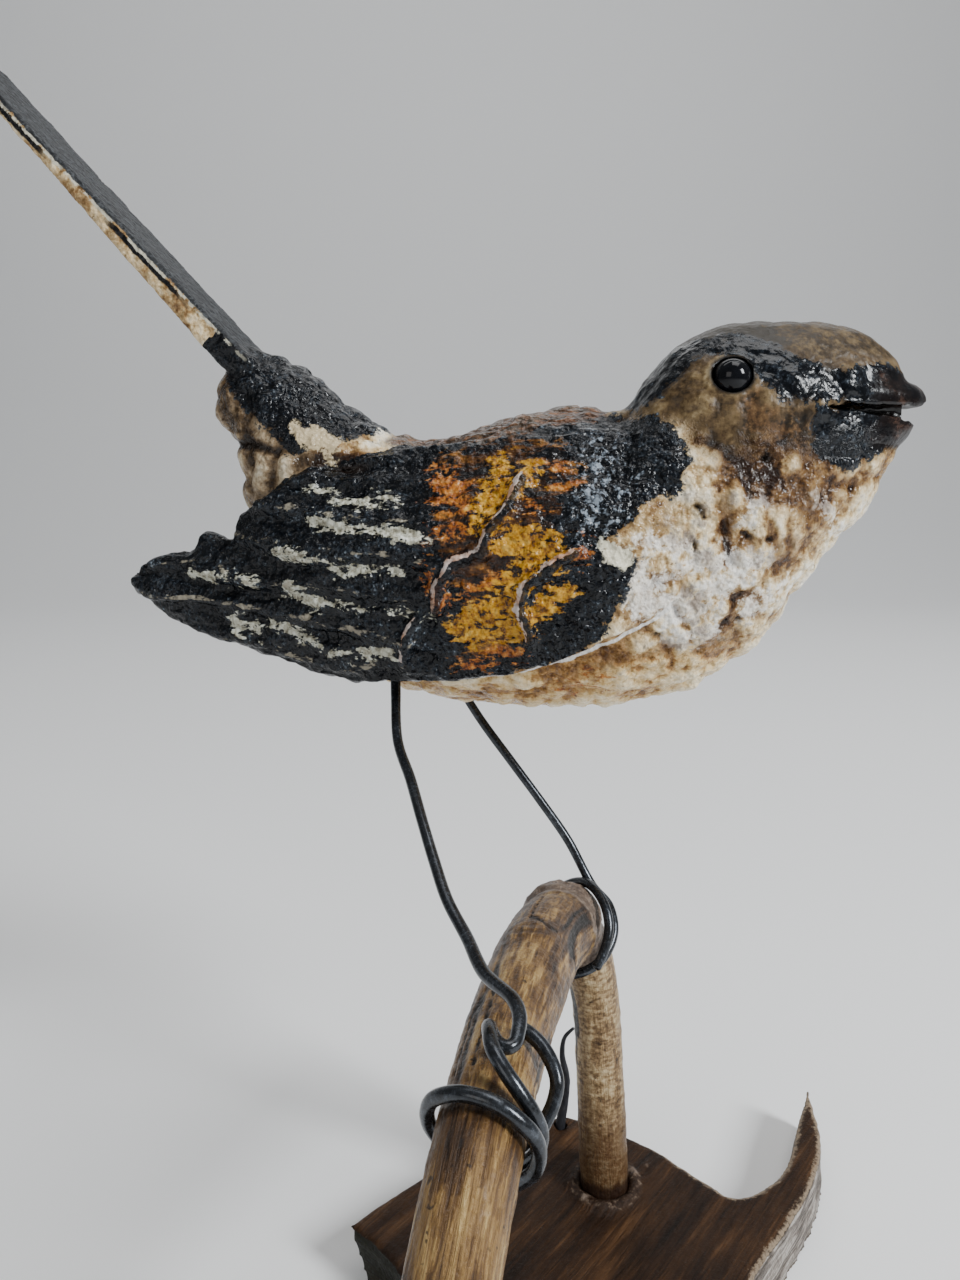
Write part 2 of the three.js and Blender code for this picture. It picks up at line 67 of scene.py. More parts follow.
# The base
BASE_HEIGHT = 10
RIM_FLARE = 1.3
LEFT_UNDERCUT = 4.5
FLARE_CENTRE = (0, 8)
HORN = [51, 79]
LEFT_TIP = [-41, 41]
BACK_EDGE = table(2, -35, 47.5, -20, 60, -1, 69.5, 13, 62.5, 23, 52, 28, 48, 35, 51.5, 40, 57.5, 45, 68)
RIM_EDGE = table(2, 50.6, 74, 48.2, 61.5, 43.2, 51.4, 35.3, 40.8, 26.1, 29.7)
FRONT_EDGE = table(2, 19.5, 18, 16.5, 4, 17, -12, 18.5, -27, 14.5, -43, 3, -56, -15, -64, -33, -63, -45, -52,
    -47, -36, -42, -18, -34.5, -2, -30.4, 12, -29.8, 22, -31.6, 30.9, -36.5, 37.4)
FOOT_FIT = 0.35
STEM_FIT = 0.3

# The branch
REAR_LEG = table(3, 4.7, 50.6, 4, 4.2, 51, 18, 3.5, 52.4, 32, 2.5, 52.8, 45, 0.4, 51.7, 55, -2.5, 50.4, 60.5)
REAR_LEG_RADII = [4.3, 4.3, 4.2, 4.2, 4.4, 4.6]
PERCH = table(3, -3, 52, 60.6, -5.6, 42.5, 63.3, -8.4, 32.5, 66.1, -12.6, 12, 69.8, -15.7, -4.9, 71.8, -17.3,
    -15.8, 73.4, -18.8, -24.4, 72.4, -20.6, -30.2, 66.3, -23.2, -34.4, 52, -25.6, -37.8, 33, -27, -39.6, 14,
    -27.3, -40, 4)
PERCH_RADII = [5.2, 6.3, 6.1, 5.6, 5, 4.65, 4.55, 4.5, 4.4, 4.35, 4.4, 4.4]
BOSS_CENTRE = [-4.1, 50, 61.4]
BOSS_RADIUS = 6.7

# The wire legs
WIRE_RADIUS = 0.8
NEAR_LEG = table(3, -31.6, 47, 111.5, -31.5, 46.3, 107.4, -31.4, 45, 103.3, -30.6, 38.1, 97.1, -28.1, 30.3,
    93.3, -26.1, 23.6, 89.7, -24.2, 17.9, 86.2, -22.2, 11.8, 83.3, -19.6, 5.8, 81.2, -17.6, -0.6, 80.2)
FAR_LEG = table(3, -27.2, 67.2, 112, -24.8, 66.6, 104.5, -21.8, 66, 99.4, -17.8, 64.8, 93.2, -12.4, 62.6,
    86.2, -7, 60.2, 79.3, -2.4, 57.4, 73.2)
NEAR_RING_Y = -20
NEAR_RING_RADIUS = 5.8
NEAR_RING = table(3, 12, -11.4, 2.8, 19, -9.3, 2.3, 22, -7.5, 1.5, 22, -6.3, 0.8, 16, -5.8, 0.4, 8, -6.2, 0.3,
    0, -7.3, 0.6, -2, -7, 1.5, 1, -4.9, 2.1, 6, -2.9, 1.9, 18, -1.6, 1.1, 37, -0.8, 0.4, 60, -0.6, 0.1, 85,
    -0.9, 0.1, 110, -1.5, 0, 140, -2.8, 0, 180, -4, 0, 225, -3.9, 0, 262, -2.6, 0, 300, -0.9, 0, 337, 0.5, 0,
    358, 1, 0, 380, 1.3, 0, 403, 1.5, 0, 425, 1.4, 0.1, 450, 1, 0.1, 475, 0.5, 0.2, 500, -0.5, 0.4, 520, -1.8,
    1.1, 529, -3.6, 1.9, 523, -5.3, 1.8, 508, -6.3, 1.2, 490, -6.9, 0.6, 474, -7.6, 0.5, 458, -8.3, 0.8, 442,
    -9, 1.1, 428, -9.9, 0.9, 411, -11.1, 0.5, 394, -11.6, 0.2, 385, -11.5, 0.15)
FAR_RING_CENTRE = [-4, 47, 62]
FAR_RING_AXIS = [0.085, 0.892, -0.444]
FAR_RING = table(3, 35, 8.7, 5.6, 65, 8.7, 3.8, 95, 8.6, 2.2, 130, 8.2, 0.8, 165, 7.8, 0.4, 205, 7.8, 1, 240,
    7.7, 3.2, 265, 7.25, 6.4, 290, 6.4, 8.8, 318, 5.8, 9.9, 342, 6.1, 9.6, 360, 6.9, 8.3, 375, 7.9, 6, 388,
    8.4, 3, 403, 8.2, 0.4, 425, 7.8, -1, 450, 7.6, -1.7, 478, 7.7, -2.1, 500, 8.4, -2.6)

TENDRIL = table(3, -2.1, 66.4, 5, -2.1, 66.4, 10, -1.4, 66.9, 15, -1, 67.2, 20, -1.9, 67.1, 25, -1.5, 66.7,
    29, 0.2, 66.2, 31.4)
TENDRIL_RADII = [0.85, 0.95, 0.85, 0.7, 0.55, 0.4, 0.3]

# The bird, in its own frame: x along the body towards the beak, y across, z up
BIRD_PLACE = np.array([-5, 52, 0])
BIRD_YAW = math.radians(-8)
BIRD_REAR = -54
BIRD_FRONT = 52
TOP = table(2, -54, 150, -52.6, 156, -50.6, 158, -47.8, 156.4, -44.4, 155.4, -39.8, 152.3, -36.4, 149.1,
    -31.7, 145.8, -25.5, 142.7, -18.2, 142.9, -6.7, 146.2, 3.6, 147.4, 9.6, 147.3, 13.1, 151.6, 15.5, 154.6,
    18.9, 157.4, 23.5, 159.2, 30.5, 159.9, 41.5, 159, 45.9, 157.3, 49.4, 154.1, 51.5, 150.6, 52, 147.5)
BOTTOM = table(2, -54, 148, -52, 139, -49.7, 131, -46, 121, -40, 112, -33, 105.6, -26.7, 102.3, -16.5, 100,
    -3, 99.4, 8.8, 100.3, 16.7, 101.9, 22.4, 104.1, 27.5, 107.6, 31.4, 111, 35.7, 117.5, 40.1, 123.9, 45.1,
    130.4, 48.5, 136.4, 50.6, 141.2, 52, 145.5)
HALF_WIDTH = table(2, -54, 4.5, -52, 7.5, -48, 9.5, -42, 11.6, -34, 14, -25, 16.2, -12, 17.8, 0, 18.3, 10,
    17.9, 20, 16.6, 28, 15.3, 35, 13.2, 40, 10.6, 44, 8.4, 48, 6, 50.5, 3.8, 52, 1.6)
NECK_X = 10
NECK_Z = 146
NECK_SLOPE = -0.26
NECK_PINCH = 0.1
NECK_SPREAD = 4.5

WING_FRONT = 19
WING_TIP = -69.8
WING_LOWER = table(2, -69.8, 119.4, -67, 116.8, -62.5, 113.8, -53.8, 110.9, -44.4, 108.3, -34.3, 105.7, -24.6,
    105.7, -15.2, 106.5, -1.6, 109, 7.3, 113.2, 16.1, 118, 19, 121.5)
WING_UPPER = table(2, -69.8, 120.9, -67, 122.5, -62.6, 124.4, -58.6, 124.6, -57.3, 127.2, -55.2, 127.6, -52.6,
    126.8, -50.6, 127.4, -50, 130.4, -46, 132.9, -37, 138, -24, 140.8, -6, 142.8, 6, 142.4, 13, 138.6, 17.4,
    131.6, 19, 125.5)
BLADE_OUT = table(2, -69.8, 9.8, -45, 14, -30, 16.6, -15, 17.6, 0, 17, 10, 15.4, 19, 12.8)
WING_RAISE = 1.7
BLADE_THICKNESS = 3.2
FEATHER_PITCH = 5.7
FEATHER_DEPTH = 0.85
FEATHER_LOWEST = 112.2
FEATHER_SLOPE = 0.1
FEATHER_FRONT = -14
COVERT_RIDGES = [
    [[-4.6, 136], [-6.6, 132], [-8.9, 129.4], [-9.9, 126.2], [-14.4, 124.4], [-16.3, 121.2],
     [-16.6, 117.6]],
    [[3.4, 126.4], [-0.8, 124], [-3.7, 121.6], [-4.4, 118.2], [-2.8, 113.6]],
    [[-19.6, 116.4], [-21.4, 113.4], [-21.9, 109.8]],
]

TAIL_ROOT = [-40, 142.3]
TAIL_SLOPE = math.radians(47.4)
TAIL_LENGTH = 88
TAIL_THICKNESS = table(2, 0, 6.4, 19, 4.7, 40, 3.5, 66, 2.4, 88, 1.9)
TAIL_HALF_WIDTH = table(2, 0, 5.5, 20, 6.6, 50, 7.4, 80, 8, 88, 7)
TAIL_CROWN = 0.12
RUMP_LUMPS = [
    ([-50.6, 0, 148.6], [6, 8.2, 6.6]),
    ([-45.4, 0, 135], [6.6, 10.4, 5.8]),
]

BILL_BACK = 34
BILL_TIP = 54.7
UPPER_BILL_TOP = table(2, 34, 151.5, 44, 151.6, 51, 150.9, 53.6, 150.2, 54.7, 149.2)
LOWER_BILL_BOTTOM = table(2, 34, 142.6, 44, 141.4, 50, 140.9, 52.2, 142, 53.4, 143.4)
LOWER_BILL_TIP = 53.4
BILL_HALF_WIDTH = table(2, 34, 9.8, 38, 9.5, 44, 7.9, 50, 4.9, 53, 2.8, 54.7, 1)
BILL_ROUND = 0.45
MOUTH_Z = 146.9
MOUTH_CORNER = 37.6
MOUTH_GAPE = table(2, 37.6, 0.5, 45, 1.2, 51, 2, 56, 3.4)
MOUTH_ROOF = 0.25
MOUTH_ACROSS = 26
BILL_BLUNT = 2.6
TONGUE_END = 50.6
TONGUE_SHARE = 0.5

EYE_PLACE = [24.9, 10.4, 150.8]
EYE_RADIUS = 2.75
EYE_FIT = 0.3

# Painted and carved regions of the bird, as outlines in its side view
STRIPE = table(2, 10.9, 147.3, 12.9, 151.1, 15.1, 153.9, 18.8, 156.3, 23.3, 157.3, 27.5, 157.2, 30.8, 155.4,
    33, 153.6, 36.5, 152.3, 40.8, 151.4, 44.1, 152.4, 48.6, 152, 54, 150, 50.1, 147.2, 45.8, 147.2, 40.9,
    147.9, 34.7, 147.9, 31.9, 148, 30.4, 149.9, 28.5, 152.4, 26.7, 154.7, 23.4, 155.2, 20.3, 154.6, 17.6,
    152.4, 14.8, 149.9, 12.7, 147.7)
CHIN = table(2, 36.3, 146.6, 41.4, 147, 46.3, 147, 54, 146, 53, 142.5, 48.1, 140.9, 44.3, 139.2, 41.6, 137.7,
    39, 137.9, 36.8, 140.4)
SHOULDER = table(2, -2, 144.6, 6.2, 145.9, 13.3, 145.5, 16.9, 144.2, 19.2, 138.6, 17.7, 134.8, 13.6, 133.6,
    11.7, 131.8, 10.5, 130, 8, 127.8, 8.4, 125.2, 12.4, 125.6, 10.9, 122, 9.2, 117.5, 5.5, 111.6, -11, 106,
    -24, 104, -40, 104, -72, 112, -74, 124, -52, 136, -37, 141, -24, 142.2, -10, 141.6)
OCHRE = table(2, -17.4, 139, -12.3, 141.2, -5.1, 141.8, 1, 140.5, 2.9, 136.4, 1.7, 133.5, 0.8, 130.7, 1.6,
    127.8, 1.2, 124.6, -2, 123.9, -3.7, 121.9, -3.1, 118.3, -4.1, 112.9, -7.8, 109.4, -13.6, 109, -13, 112.6,
    -12.6, 117.1, -14, 121.6, -16, 125.4, -17.4, 127.8, -16.8, 130.5, -15.8, 133.5)
SHOULDER_CREAM = table(2, 6.9, 128.1, 11.4, 127.1, 10.7, 124.6, 7.6, 125.2)
HEAD = table(2, 8, 146, 14, 160, 34, 164, 56, 156, 56, 145, 36, 140.5, 33.3, 141, 29.1, 141.6, 25, 140, 20.7,
    141, 17.8, 143.5)
CROWN_TAN = table(2, 30.1, 158.6, 39.1, 160, 46, 158, 49.7, 154.2, 46.4, 153.6, 42.1, 154.8, 39.4, 153, 35.1,
    154.2)
GROOVES = [
    ([[24.3, 130.6], [24.6, 128.6], [25.2, 126.4], [25.4, 124.4]], 0.55, 0.6),
    ([[14, 123.3], [15.6, 120.8], [16.8, 118.9], [18.9, 116], [20.2, 113.0]], 0.6, 0.6),
    ([[30.6, 137.8], [29.4, 134.6], [29.9, 131.2], [31.6, 127]], 0.8, 0.4),
    ([[34.9, 135.0], [33.2, 130], [34.2, 124.6]], 0.7, 0.35),
    ([[27, 119.8], [25.2, 115.6], [21.6, 111.4]], 0.8, 0.35),
    ([[22.2, 141.6], [26.4, 138.4], [27.4, 134.2]], 0.7, 0.35),
    ([[12, 116.4], [16.6, 112.2], [18.2, 108]], 0.6, 0.3),
    ([[39.4, 137], [38.8, 131], [36.4, 126]], 0.7, 0.35),
]
PIT_COUNT = 40
EYE_RING = 3.5

# Marks of worn, laid-on or pooled colour, and of crust with painted highlights, in the side view, as strokes:
# x and z of both ends, half width
WORN = table(5, -36.4, 130.3, -31.3, 129.1, 0.7, -31.3, 129.3, -22.1, 128.3, 0.8, -22.1, 128.3, -17, 128.3,
    0.5, -42.2, 125.8, -33.8, 124.4, 0.8, -33.8, 124.1, -27.3, 123, 0.8, -26.3, 123.6, -22.4, 123.2, 0.5,
    -40.7, 120.1, -33.6, 117.7, 0.95, -33.6, 117.7, -27.4, 116.8, 0.5, -27.4, 117.1, -17.4, 116.7, 0.5, -57.8,
    121.6, -46.2, 120.9, 0.6, -50.1, 114.1, -46.2, 113.3, 0.9, -43.9, 114.4, -36, 111.2, 0.75, -33, 110.6,
    -23.9, 110.2, 0.8, -37.6, 135, -32.7, 134, 0.35, -32.7, 134, -28, 132.4, 0.3, -50.5, 111.3, -45.7, 110.6,
    0.4, -28, 133.9, -24, 133.4, 0.4)
YELLOW = table(5, -8, 137.8, -10, 130.3, 1.7, -3.2, 137.5, -7.2, 133.5, 1.5, -6.1, 127.7, 0.3, 126.6, 1.9,
    -1.3, 128.3, -4.9, 122.6, 1.7, -5.7, 121.8, -9.4, 118.8, 1.2, -12.4, 114.5, -5.5, 118.9, 2.2, -10.9, 117,
    -4.6, 114.7, 1.6, -2.7, 118, 1.9, 120.2, 1.2)
ORANGE = table(5, -16.8, 136.4, -13.5, 135.8, 1.8, -1.4, 138.8, 0.7, 137.8, 0.7, 0.5, 135.8, 2.2, 135.5, 0.3,
    -17.4, 128.8, -10.1, 130, 0.9, -18.4, 127.6, -12.4, 128.2, 0.5, -18.1, 122.4, -15.7, 118.7, 1.2, -12.4,
    120.2, -7.2, 122.5, 1, 3.8, 126.6, 4.5, 126.4, 1.1, -12.4, 109.3, -4.9, 111.4, 0.8, -9.4, 110.9, -4.3,
    112.3, 0.6, -16.8, 133.5, -10.9, 131.7, 0.9, -3.8, 133.5, -1.4, 132.1, 0.8, 0.9, 104.4, 6.7, 104.9, 0.6,
    5.4, 107.7, 7.6, 107.1, 0.3)
# White gesso crust, with painted highlights laid into it as whitish patches
CRUST_AND_HIGHLIGHT = table(5, 21.1, 124.9, 29.5, 125.1, 2, 22, 120.6, 26.8, 122.8, 2.4, 12.7, 118.9, 21.4, 117.6, 2.4,
    15.5, 121.9, 19.7, 124.9, 1.4, 10.3, 124.8, 14.1, 119, 2, 12.4, 127.8, 19.6, 127.1, 1.4, 37.3, 133.6,
    41.7, 129.4, 1, 33.9, 120.8, 28.5, 117.8, 1.4, 23.8, 114.7, 18.6, 113.1, 1.6, 26.5, 130.7, 29.1, 133.6,
    0.9)
GLAZE = table(5, 23.7, 138.5, 24.8, 130, 0.9, 20.8, 133, 21.2, 131.5, 1.1, 34.7, 135, 36.9, 132.9, 2.6, 30.4,
    125, 33.8, 127.2, 0.9, 20.9, 119.7, 21.6, 114.5, 1.1, 18.4, 121.9, 21.4, 119, 0.8, 26.9, 146.8, 30.9,
    142.7, 2, 19.6, 127.8, 22.6, 124.9, 0.8, 15.2, 130.6, 18.1, 129.2, 1.2, 27.5, 127.1, 29.6, 126.4, 0.9, 7,
    109.3, 10.7, 110.4, 0.9, 34.2, 144.7, 35.3, 139.2, 0.9, 12.9, 110.5, 21.6, 113, 0.6, 27.7, 136.4, 30.6,
    133.6, 0.8, 39.4, 136.4, 42.9, 135, 0.9, 21.7, 110.7, 27.4, 113.1, 0.7)
DARK_PITS = table(5, 20, 132.7, 20.7, 132.1, 0.25, 20.9, 132.1, 21.5, 131.2, 0.25, 29.9, 139.8, 30.1, 139.5,
    0.35, 26.9, 129, 27.8, 128.4, 0.25, 30.2, 127.9, 30.9, 127.6, 0.2, 19.9, 127.8, 20.1, 127, 0.2, 15, 114,
    15.5, 113.8, 0.3, 27.3, 116.1, 27.6, 115.8, 0.2)
ROOT_CREAM = table(5, -40.8, 144.9, -38.9, 142.5, 1, -37.9, 143.1, -34.7, 141.5, 1.3, -37.3, 141.4, -35,
    140.6, 0.8)
FROST = table(5, 6.2, 140, 5.1, 130.4, 3.2, 10.5, 137.5, 9, 131, 2)
BROW_FROST = table(5, 45.2, 153.3, 49.3, 150.6, 1.3)

rng = np.random.default_rng(47)


# Numbers and curves

def ease(value, low, high):
    t = np.clip((np.asarray(value, float) - low) / (high - low), 0, 1)
    return t * t * (3 - 2 * t)


def bell(gap, width):
    """1 at no gap, and falling to 0 over about that width."""
    return np.exp(-(gap / width) ** 2)


def distance(points, centre):
    return np.linalg.norm(points - centre, axis=1)


def turned(points, angle):
    """Points seen from a frame that is turned by that angle about the upright axis."""
    c, s = math.cos(angle), math.sin(angle)
    p = np.asarray(points, float)
    return np.stack([p[..., 0] * c + p[..., 1] * s, -p[..., 0] * s + p[..., 1] * c, p[..., 2]], -1)


def keyed(keys):
    """A smooth curve through [place, value] keys, level beyond its ends."""
    places, values = np.array(keys, float).T
    slopes = np.gradient(values, places)
    slopes[1:-1] = (values[2:] - values[:-2]) / (places[2:] - places[:-2])

    def at(place):
        place = np.clip(np.asarray(place, float), places[0], places[-1])
        i = np.clip(np.searchsorted(places, place, side="right") - 1, 0, len(places) - 2)
        span = places[i + 1] - places[i]
        t = (place - places[i]) / span
        rise = (2 * t**3 - 3 * t**2 + 1) * values[i] + (3 * t**2 - 2 * t**3) * values[i + 1]
        bend = (t**3 - 2 * t**2 + t) * slopes[i] + (t**3 - t**2) * slopes[i + 1]
        return rise + bend * span

    return at


def spread(values, length=1.0):
    """A smooth curve through values that are spaced evenly over a length."""
    return keyed([[i * length / (len(values) - 1), value] for i, value in enumerate(values)])


def hermite(p1, p2, m1, m2, t):
    return ((2 * t**3 - 3 * t**2 + 1) * p1 + (3 * t**2 - 2 * t**3) * p2
            + (t**3 - 2 * t**2 + t) * m1 + (t**3 - t**2) * m2)


def smooth_line(points, steps):
    """A centripetal curve through the points, sampled evenly between them."""
    p = np.array(points, float)
    p = np.vstack([2 * p[0] - p[1], p, 2 * p[-1] - p[-2]])
    out = []
    for place in np.linspace(0, len(points) - 1, steps + 1):
        k = min(int(place), len(points) - 2)
        t = place - k
        a, b, c, d = p[k:k + 4]
        d0, d1, d2 = (np.linalg.norm(v) ** 0.5 for v in (b - a, c - b, d - c))
        m1 = ((b - a) / d0 - (c - a) / (d0 + d1) + (c - b) / d1) * d1
        m2 = ((c - b) / d1 - (d - b) / (d1 + d2) + (d - c) / d2) * d1
        out.append(hermite(b, c, m1, m2, t))
    return np.array(out)


def even_line(points, steps):
    """The same curve, sampled evenly by length. Also returns the length so far at each sample."""
    fine = smooth_line(points, 40 * (len(points) - 1))
    length = np.concatenate([[0], np.cumsum(np.linalg.norm(np.diff(fine, axis=0), axis=1))])
    wanted = np.linspace(0, length[-1], steps + 1)
    return np.stack([np.interp(wanted, length, fine[:, k]) for k in range(3)], 1), wanted


def outline_curve(start, points, per_key):
    """A plain curve through flat points from start, without the start itself."""
    p = np.array([start] + points, float)
    p = np.vstack([p[0], p, p[-1]])
    out = []
    for k in range(len(points)):
        a, b, c, d = p[k:k + 4]
        for t in np.arange(1, per_key + 1) / per_key:
            out.append(hermite(b, c, (c - a) / 2, (d - b) / 2, t))
    return out


def lattice(i, j, k, seed):
    mixed = (i * 374761393 + j * 668265263 + k * 1442695041 + seed * 1274126177) & 0xFFFFFFFF
    mixed = ((mixed ^ (mixed >> 13)) * 1274126177) & 0xFFFFFFFF
    mixed = mixed ^ (mixed >> 16)
    return mixed / 2147483648.0 - 1.0


def noise(points, size, seed=0):
    """Smooth noise from -1 to 1 with lumps of about that size."""
    p = np.asarray(points, float) / size
    cell = np.floor(p).astype(np.int64)
    f = p - cell
    f = f * f * f * (f * (6 * f - 15) + 10)
    total = np.zeros(len(p))
    for di in (0, 1):
        for dj in (0, 1):
            for dk in (0, 1):
                weight = (np.abs(1 - di - f[:, 0]) * np.abs(1 - dj - f[:, 1])
                          * np.abs(1 - dk - f[:, 2]))
                total += weight * lattice(cell[:, 0] + di, cell[:, 1] + dj, cell[:, 2] + dk, seed)
    return total


def lumps(points, size, octaves, seed=0):
    total = np.zeros(len(points))
    strength = 1.0
    for octave in range(octaves):
        total += strength * noise(points, size / 2**octave, seed + 17 * octave)
        strength *= 0.5
    return total


def line_distance(flat, line):
    """Distance of flat points to an open line."""
    best = np.full(len(flat), 1e9)
    line = np.array(line, float)
    for a, b in zip(line[:-1], line[1:]):
        along = np.clip((flat - a) @ (b - a) / ((b - a) @ (b - a)), 0, 1)
        best = np.minimum(best, np.linalg.norm(flat - a - along[:, None] * (b - a), axis=1))
    return best


def stroke_depth(flat, strokes):
    """Signed distance to a set of strokes, positive on them."""
    return np.max([width - line_distance(flat, [[ax, az], [bx, bz]])
                   for ax, az, bx, bz, width in strokes], axis=0)


def depth_inside(flat, loop):
    """Signed distance to a closed outline, positive inside it."""
    loop = np.array(loop, float)
    best = line_distance(flat, np.vstack([loop, loop[:1]]))
    inside = np.zeros(len(flat), bool)
    for a, b in zip(loop, np.roll(loop, -1, axis=0)):
        crosses = (a[1] > flat[:, 1]) != (b[1] > flat[:, 1])
        rise = b[1] - a[1] if b[1] != a[1] else 1e-9
        inside ^= crosses & (flat[:, 0] < a[0] + (flat[:, 1] - a[1]) * (b[0] - a[0]) / rise)
    return np.where(inside, best, -best)


# Meshes

def make_object(name, points, faces):
    mesh = bpy.data.meshes.new(name)
    mesh.from_pydata((np.asarray(points, float) * MM).tolist(), [], faces)
    mesh.update()
    made = bpy.data.objects.new(name, mesh)
    bpy.context.scene.collection.objects.link(made)
    return made


def ring_mesh(name, rings, first_cap, last_cap):
    """A closed mesh through rings of points, with a point at each end."""
    count, sides = rings.shape[:2]
    points = np.vstack([rings.reshape(-1, 3), [first_cap], [last_cap]])
    faces = []
    for i in range(count - 1):
        for j in range(sides):
            k = (j + 1) % sides
            faces.append((i * sides + j, i * sides + k, (i + 1) * sides + k, (i + 1) * sides + j))
    for j in range(sides):
        k = (j + 1) % sides
        faces.append((count * sides, k, j))
        faces.append((count * sides + 1, (count - 1) * sides + j, (count - 1) * sides + k))
    return make_object(name, points, faces)


def plate_mesh(name, outer, inner):
    """A closed mesh between two matching grids of points."""
    rows, columns = outer.shape[:2]
    points = np.vstack([outer.reshape(-1, 3), inner.reshape(-1, 3)])
    shift = rows * columns

    def at(i, j):
        return i * columns + j

    faces = []
    for i in range(rows - 1):
        for j in range(columns - 1):
            quad = (at(i, j), at(i + 1, j), at(i + 1, j + 1), at(i, j + 1))
            faces.append(quad)
            faces.append(tuple(shift + q for q in reversed(quad)))
    border = [at(i, 0) for i in range(rows)] + [at(rows - 1, j) for j in range(1, columns)]
    border += [at(i, columns - 1) for i in range(rows - 2, -1, -1)]
    border += [at(0, j) for j in range(columns - 2, 0, -1)]
    for a, b in zip(border, border[1:] + border[:1]):
        faces.append((b, a, shift + a, shift + b))
    made = make_object(name, points, faces)
    face_outward(made)
    return made


def face_outward(piece):
    import bmesh
    work = bmesh.new()
    work.from_mesh(piece.data)
    bmesh.ops.recalc_face_normals(work, faces=work.faces)
    if work.calc_volume(signed=True) < 0:
        bmesh.ops.reverse_faces(work, faces=work.faces)
    work.to_mesh(piece.data)
    work.free()


def tube_frames(centres):
    """A direction across and one at right angles to it at each centre, without twist."""
    along = np.gradient(centres, axis=0)
    along /= np.linalg.norm(along, axis=1, keepdims=True)
    across = np.array([1.0, 0, 0])
    first, second = [], []
    for direction in along:
        across = across - direction * (across @ direction)
        across = across / np.linalg.norm(across)
        first.append(across)
        second.append(np.cross(direction, across))
    return np.array(first), np.array(second)


def tube(name, centres, radii, sides, rounded=0.0):
    """A round bar along the centres; rounded is how far its ends' edges are broken."""
    across, other = tube_frames(centres)
    turn = np.linspace(0, 2 * math.pi, sides, endpoint=False)
    circle = np.stack([np.cos(turn), np.sin(turn)], 1)
    radii = np.broadcast_to(np.asarray(radii, float), len(centres)).copy()
    if rounded:
        length = np.concatenate([[0], np.cumsum(np.linalg.norm(np.diff(centres, axis=0), axis=1))])
        left = np.minimum(length, length[-1] - length)
        radii -= rounded * (1 - np.clip(left / rounded, 0, 1)) ** 2
    rings = (centres[:, None]
             + radii[:, None, None] * (circle[None, :, :1] * across[:, None]
                                       + circle[None, :, 1:] * other[:, None]))
    made = ring_mesh(name, rings, centres[0], centres[-1])
    face_outward(made)
    return made


def ball(name, centre, radii, rows, sides):
    fall = np.linspace(0, math.pi, rows + 1)[1:-1]
    turn = np.linspace(0, 2 * math.pi, sides, endpoint=False)
    centre, radii = np.array(centre, float), np.broadcast_to(np.array(radii, float), 3)
    unit = np.stack([
        np.sin(fall)[:, None] * np.cos(turn),
        np.sin(fall)[:, None] * np.sin(turn),
        np.repeat(np.cos(fall)[:, None], sides, 1),
    ], 2)
    pole = np.array([0, 0, radii[2]])
    made = ring_mesh(name, centre + unit * radii, centre + pole, centre - pole)
    face_outward(made)
    return made


def joined(name, pieces):
    with bpy.context.temp_override(active_object=pieces[0], selected_editable_objects=pieces):
        bpy.ops.object.join()
    pieces[0].name = name
    return pieces[0]


def applied(piece, kind, **settings):
    """The piece with one modifier applied to its mesh."""
    modifier = piece.modifiers.new(kind.lower(), kind)
    for key, value in settings.items():
        setattr(modifier, key, value)
    evaluated = piece.evaluated_get(bpy.context.evaluated_depsgraph_get())
    fresh = bpy.data.meshes.new_from_object(evaluated)
    piece.modifiers.clear()
    piece.data = fresh
    return piece


def remeshed(piece, voxel, rounds=2):
    applied(piece, "REMESH", mode="VOXEL", voxel_size=voxel * MM, adaptivity=0.0)
    return applied(piece, "SMOOTH", factor=0.5, iterations=rounds)


def cut(piece, tools):
    """Takes the tools away from the piece."""
    for tool in tools:
        applied(piece, "BOOLEAN", operation="DIFFERENCE", solver="EXACT", object=tool)
        bpy.data.objects.remove(tool)
    return piece


def largest_part(piece):
    """Drops every loose part but the largest."""
    import bmesh
    work = bmesh.new()
    work.from_mesh(piece.data)
    unseen = set(work.verts)
    parts = []
    while unseen:
        stack = [unseen.pop()]
        part = list(stack)
        while stack:
            for edge in stack.pop().link_edges:
                for vert in edge.verts:
                    if vert in unseen:
                        unseen.remove(vert)
                        stack.append(vert)
                        part.append(vert)
        parts.append(part)
    parts.sort(key=len)
    for part in parts[:-1]:
        bmesh.ops.delete(work, geom=part, context="VERTS")
    work.to_mesh(piece.data)
    work.free()
    return piece


def read_points(piece):
    flat = np.empty(len(piece.data.vertices) * 3, np.float32)
    piece.data.vertices.foreach_get("co", flat)
    return flat.reshape(-1, 3).astype(float) / MM


def read_normals(piece):
    flat = np.empty(len(piece.data.vertices) * 3, np.float32)
    piece.data.vertex_normals.foreach_get("vector", flat)
    return flat.reshape(-1, 3).astype(float)


def write_points(piece, points):
    piece.data.vertices.foreach_set("co", (points * MM).astype(np.float32).ravel())
    piece.data.update()


def in_box(points):
    return np.clip(points, BOX_LOW + BOX_INSET, BOX_HIGH - BOX_INSET)


def store(piece, **fields):
    """Keeps a number at each point, for the finishes."""
    for name, values in fields.items():
        made = piece.data.attributes.new(name, "FLOAT", "POINT")
        made.data.foreach_set("value", np.asarray(values, np.float32))


def store_vector(piece, name, values):
    made = piece.data.attributes.new(name, "FLOAT_VECTOR", "POINT")
    made.data.foreach_set("vector", np.asarray(values, np.float32).ravel())


def place(piece, slot, node, material):
    """Finishes a piece: it stands for a node, rides on the body and takes its finish."""
    piece.data.polygons.foreach_set("use_smooth", np.ones(len(piece.data.polygons), bool))
    piece.data.materials.clear()
    piece.data.materials.append(material)
    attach(piece, "root")
    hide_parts(node)


# The bird's form

top_at = keyed(TOP)
bottom_at = keyed(BOTTOM)
half_width_at = keyed(HALF_WIDTH)
wing_lower = keyed(WING_LOWER)
wing_upper = keyed(WING_UPPER)
blade_out = keyed(BLADE_OUT)


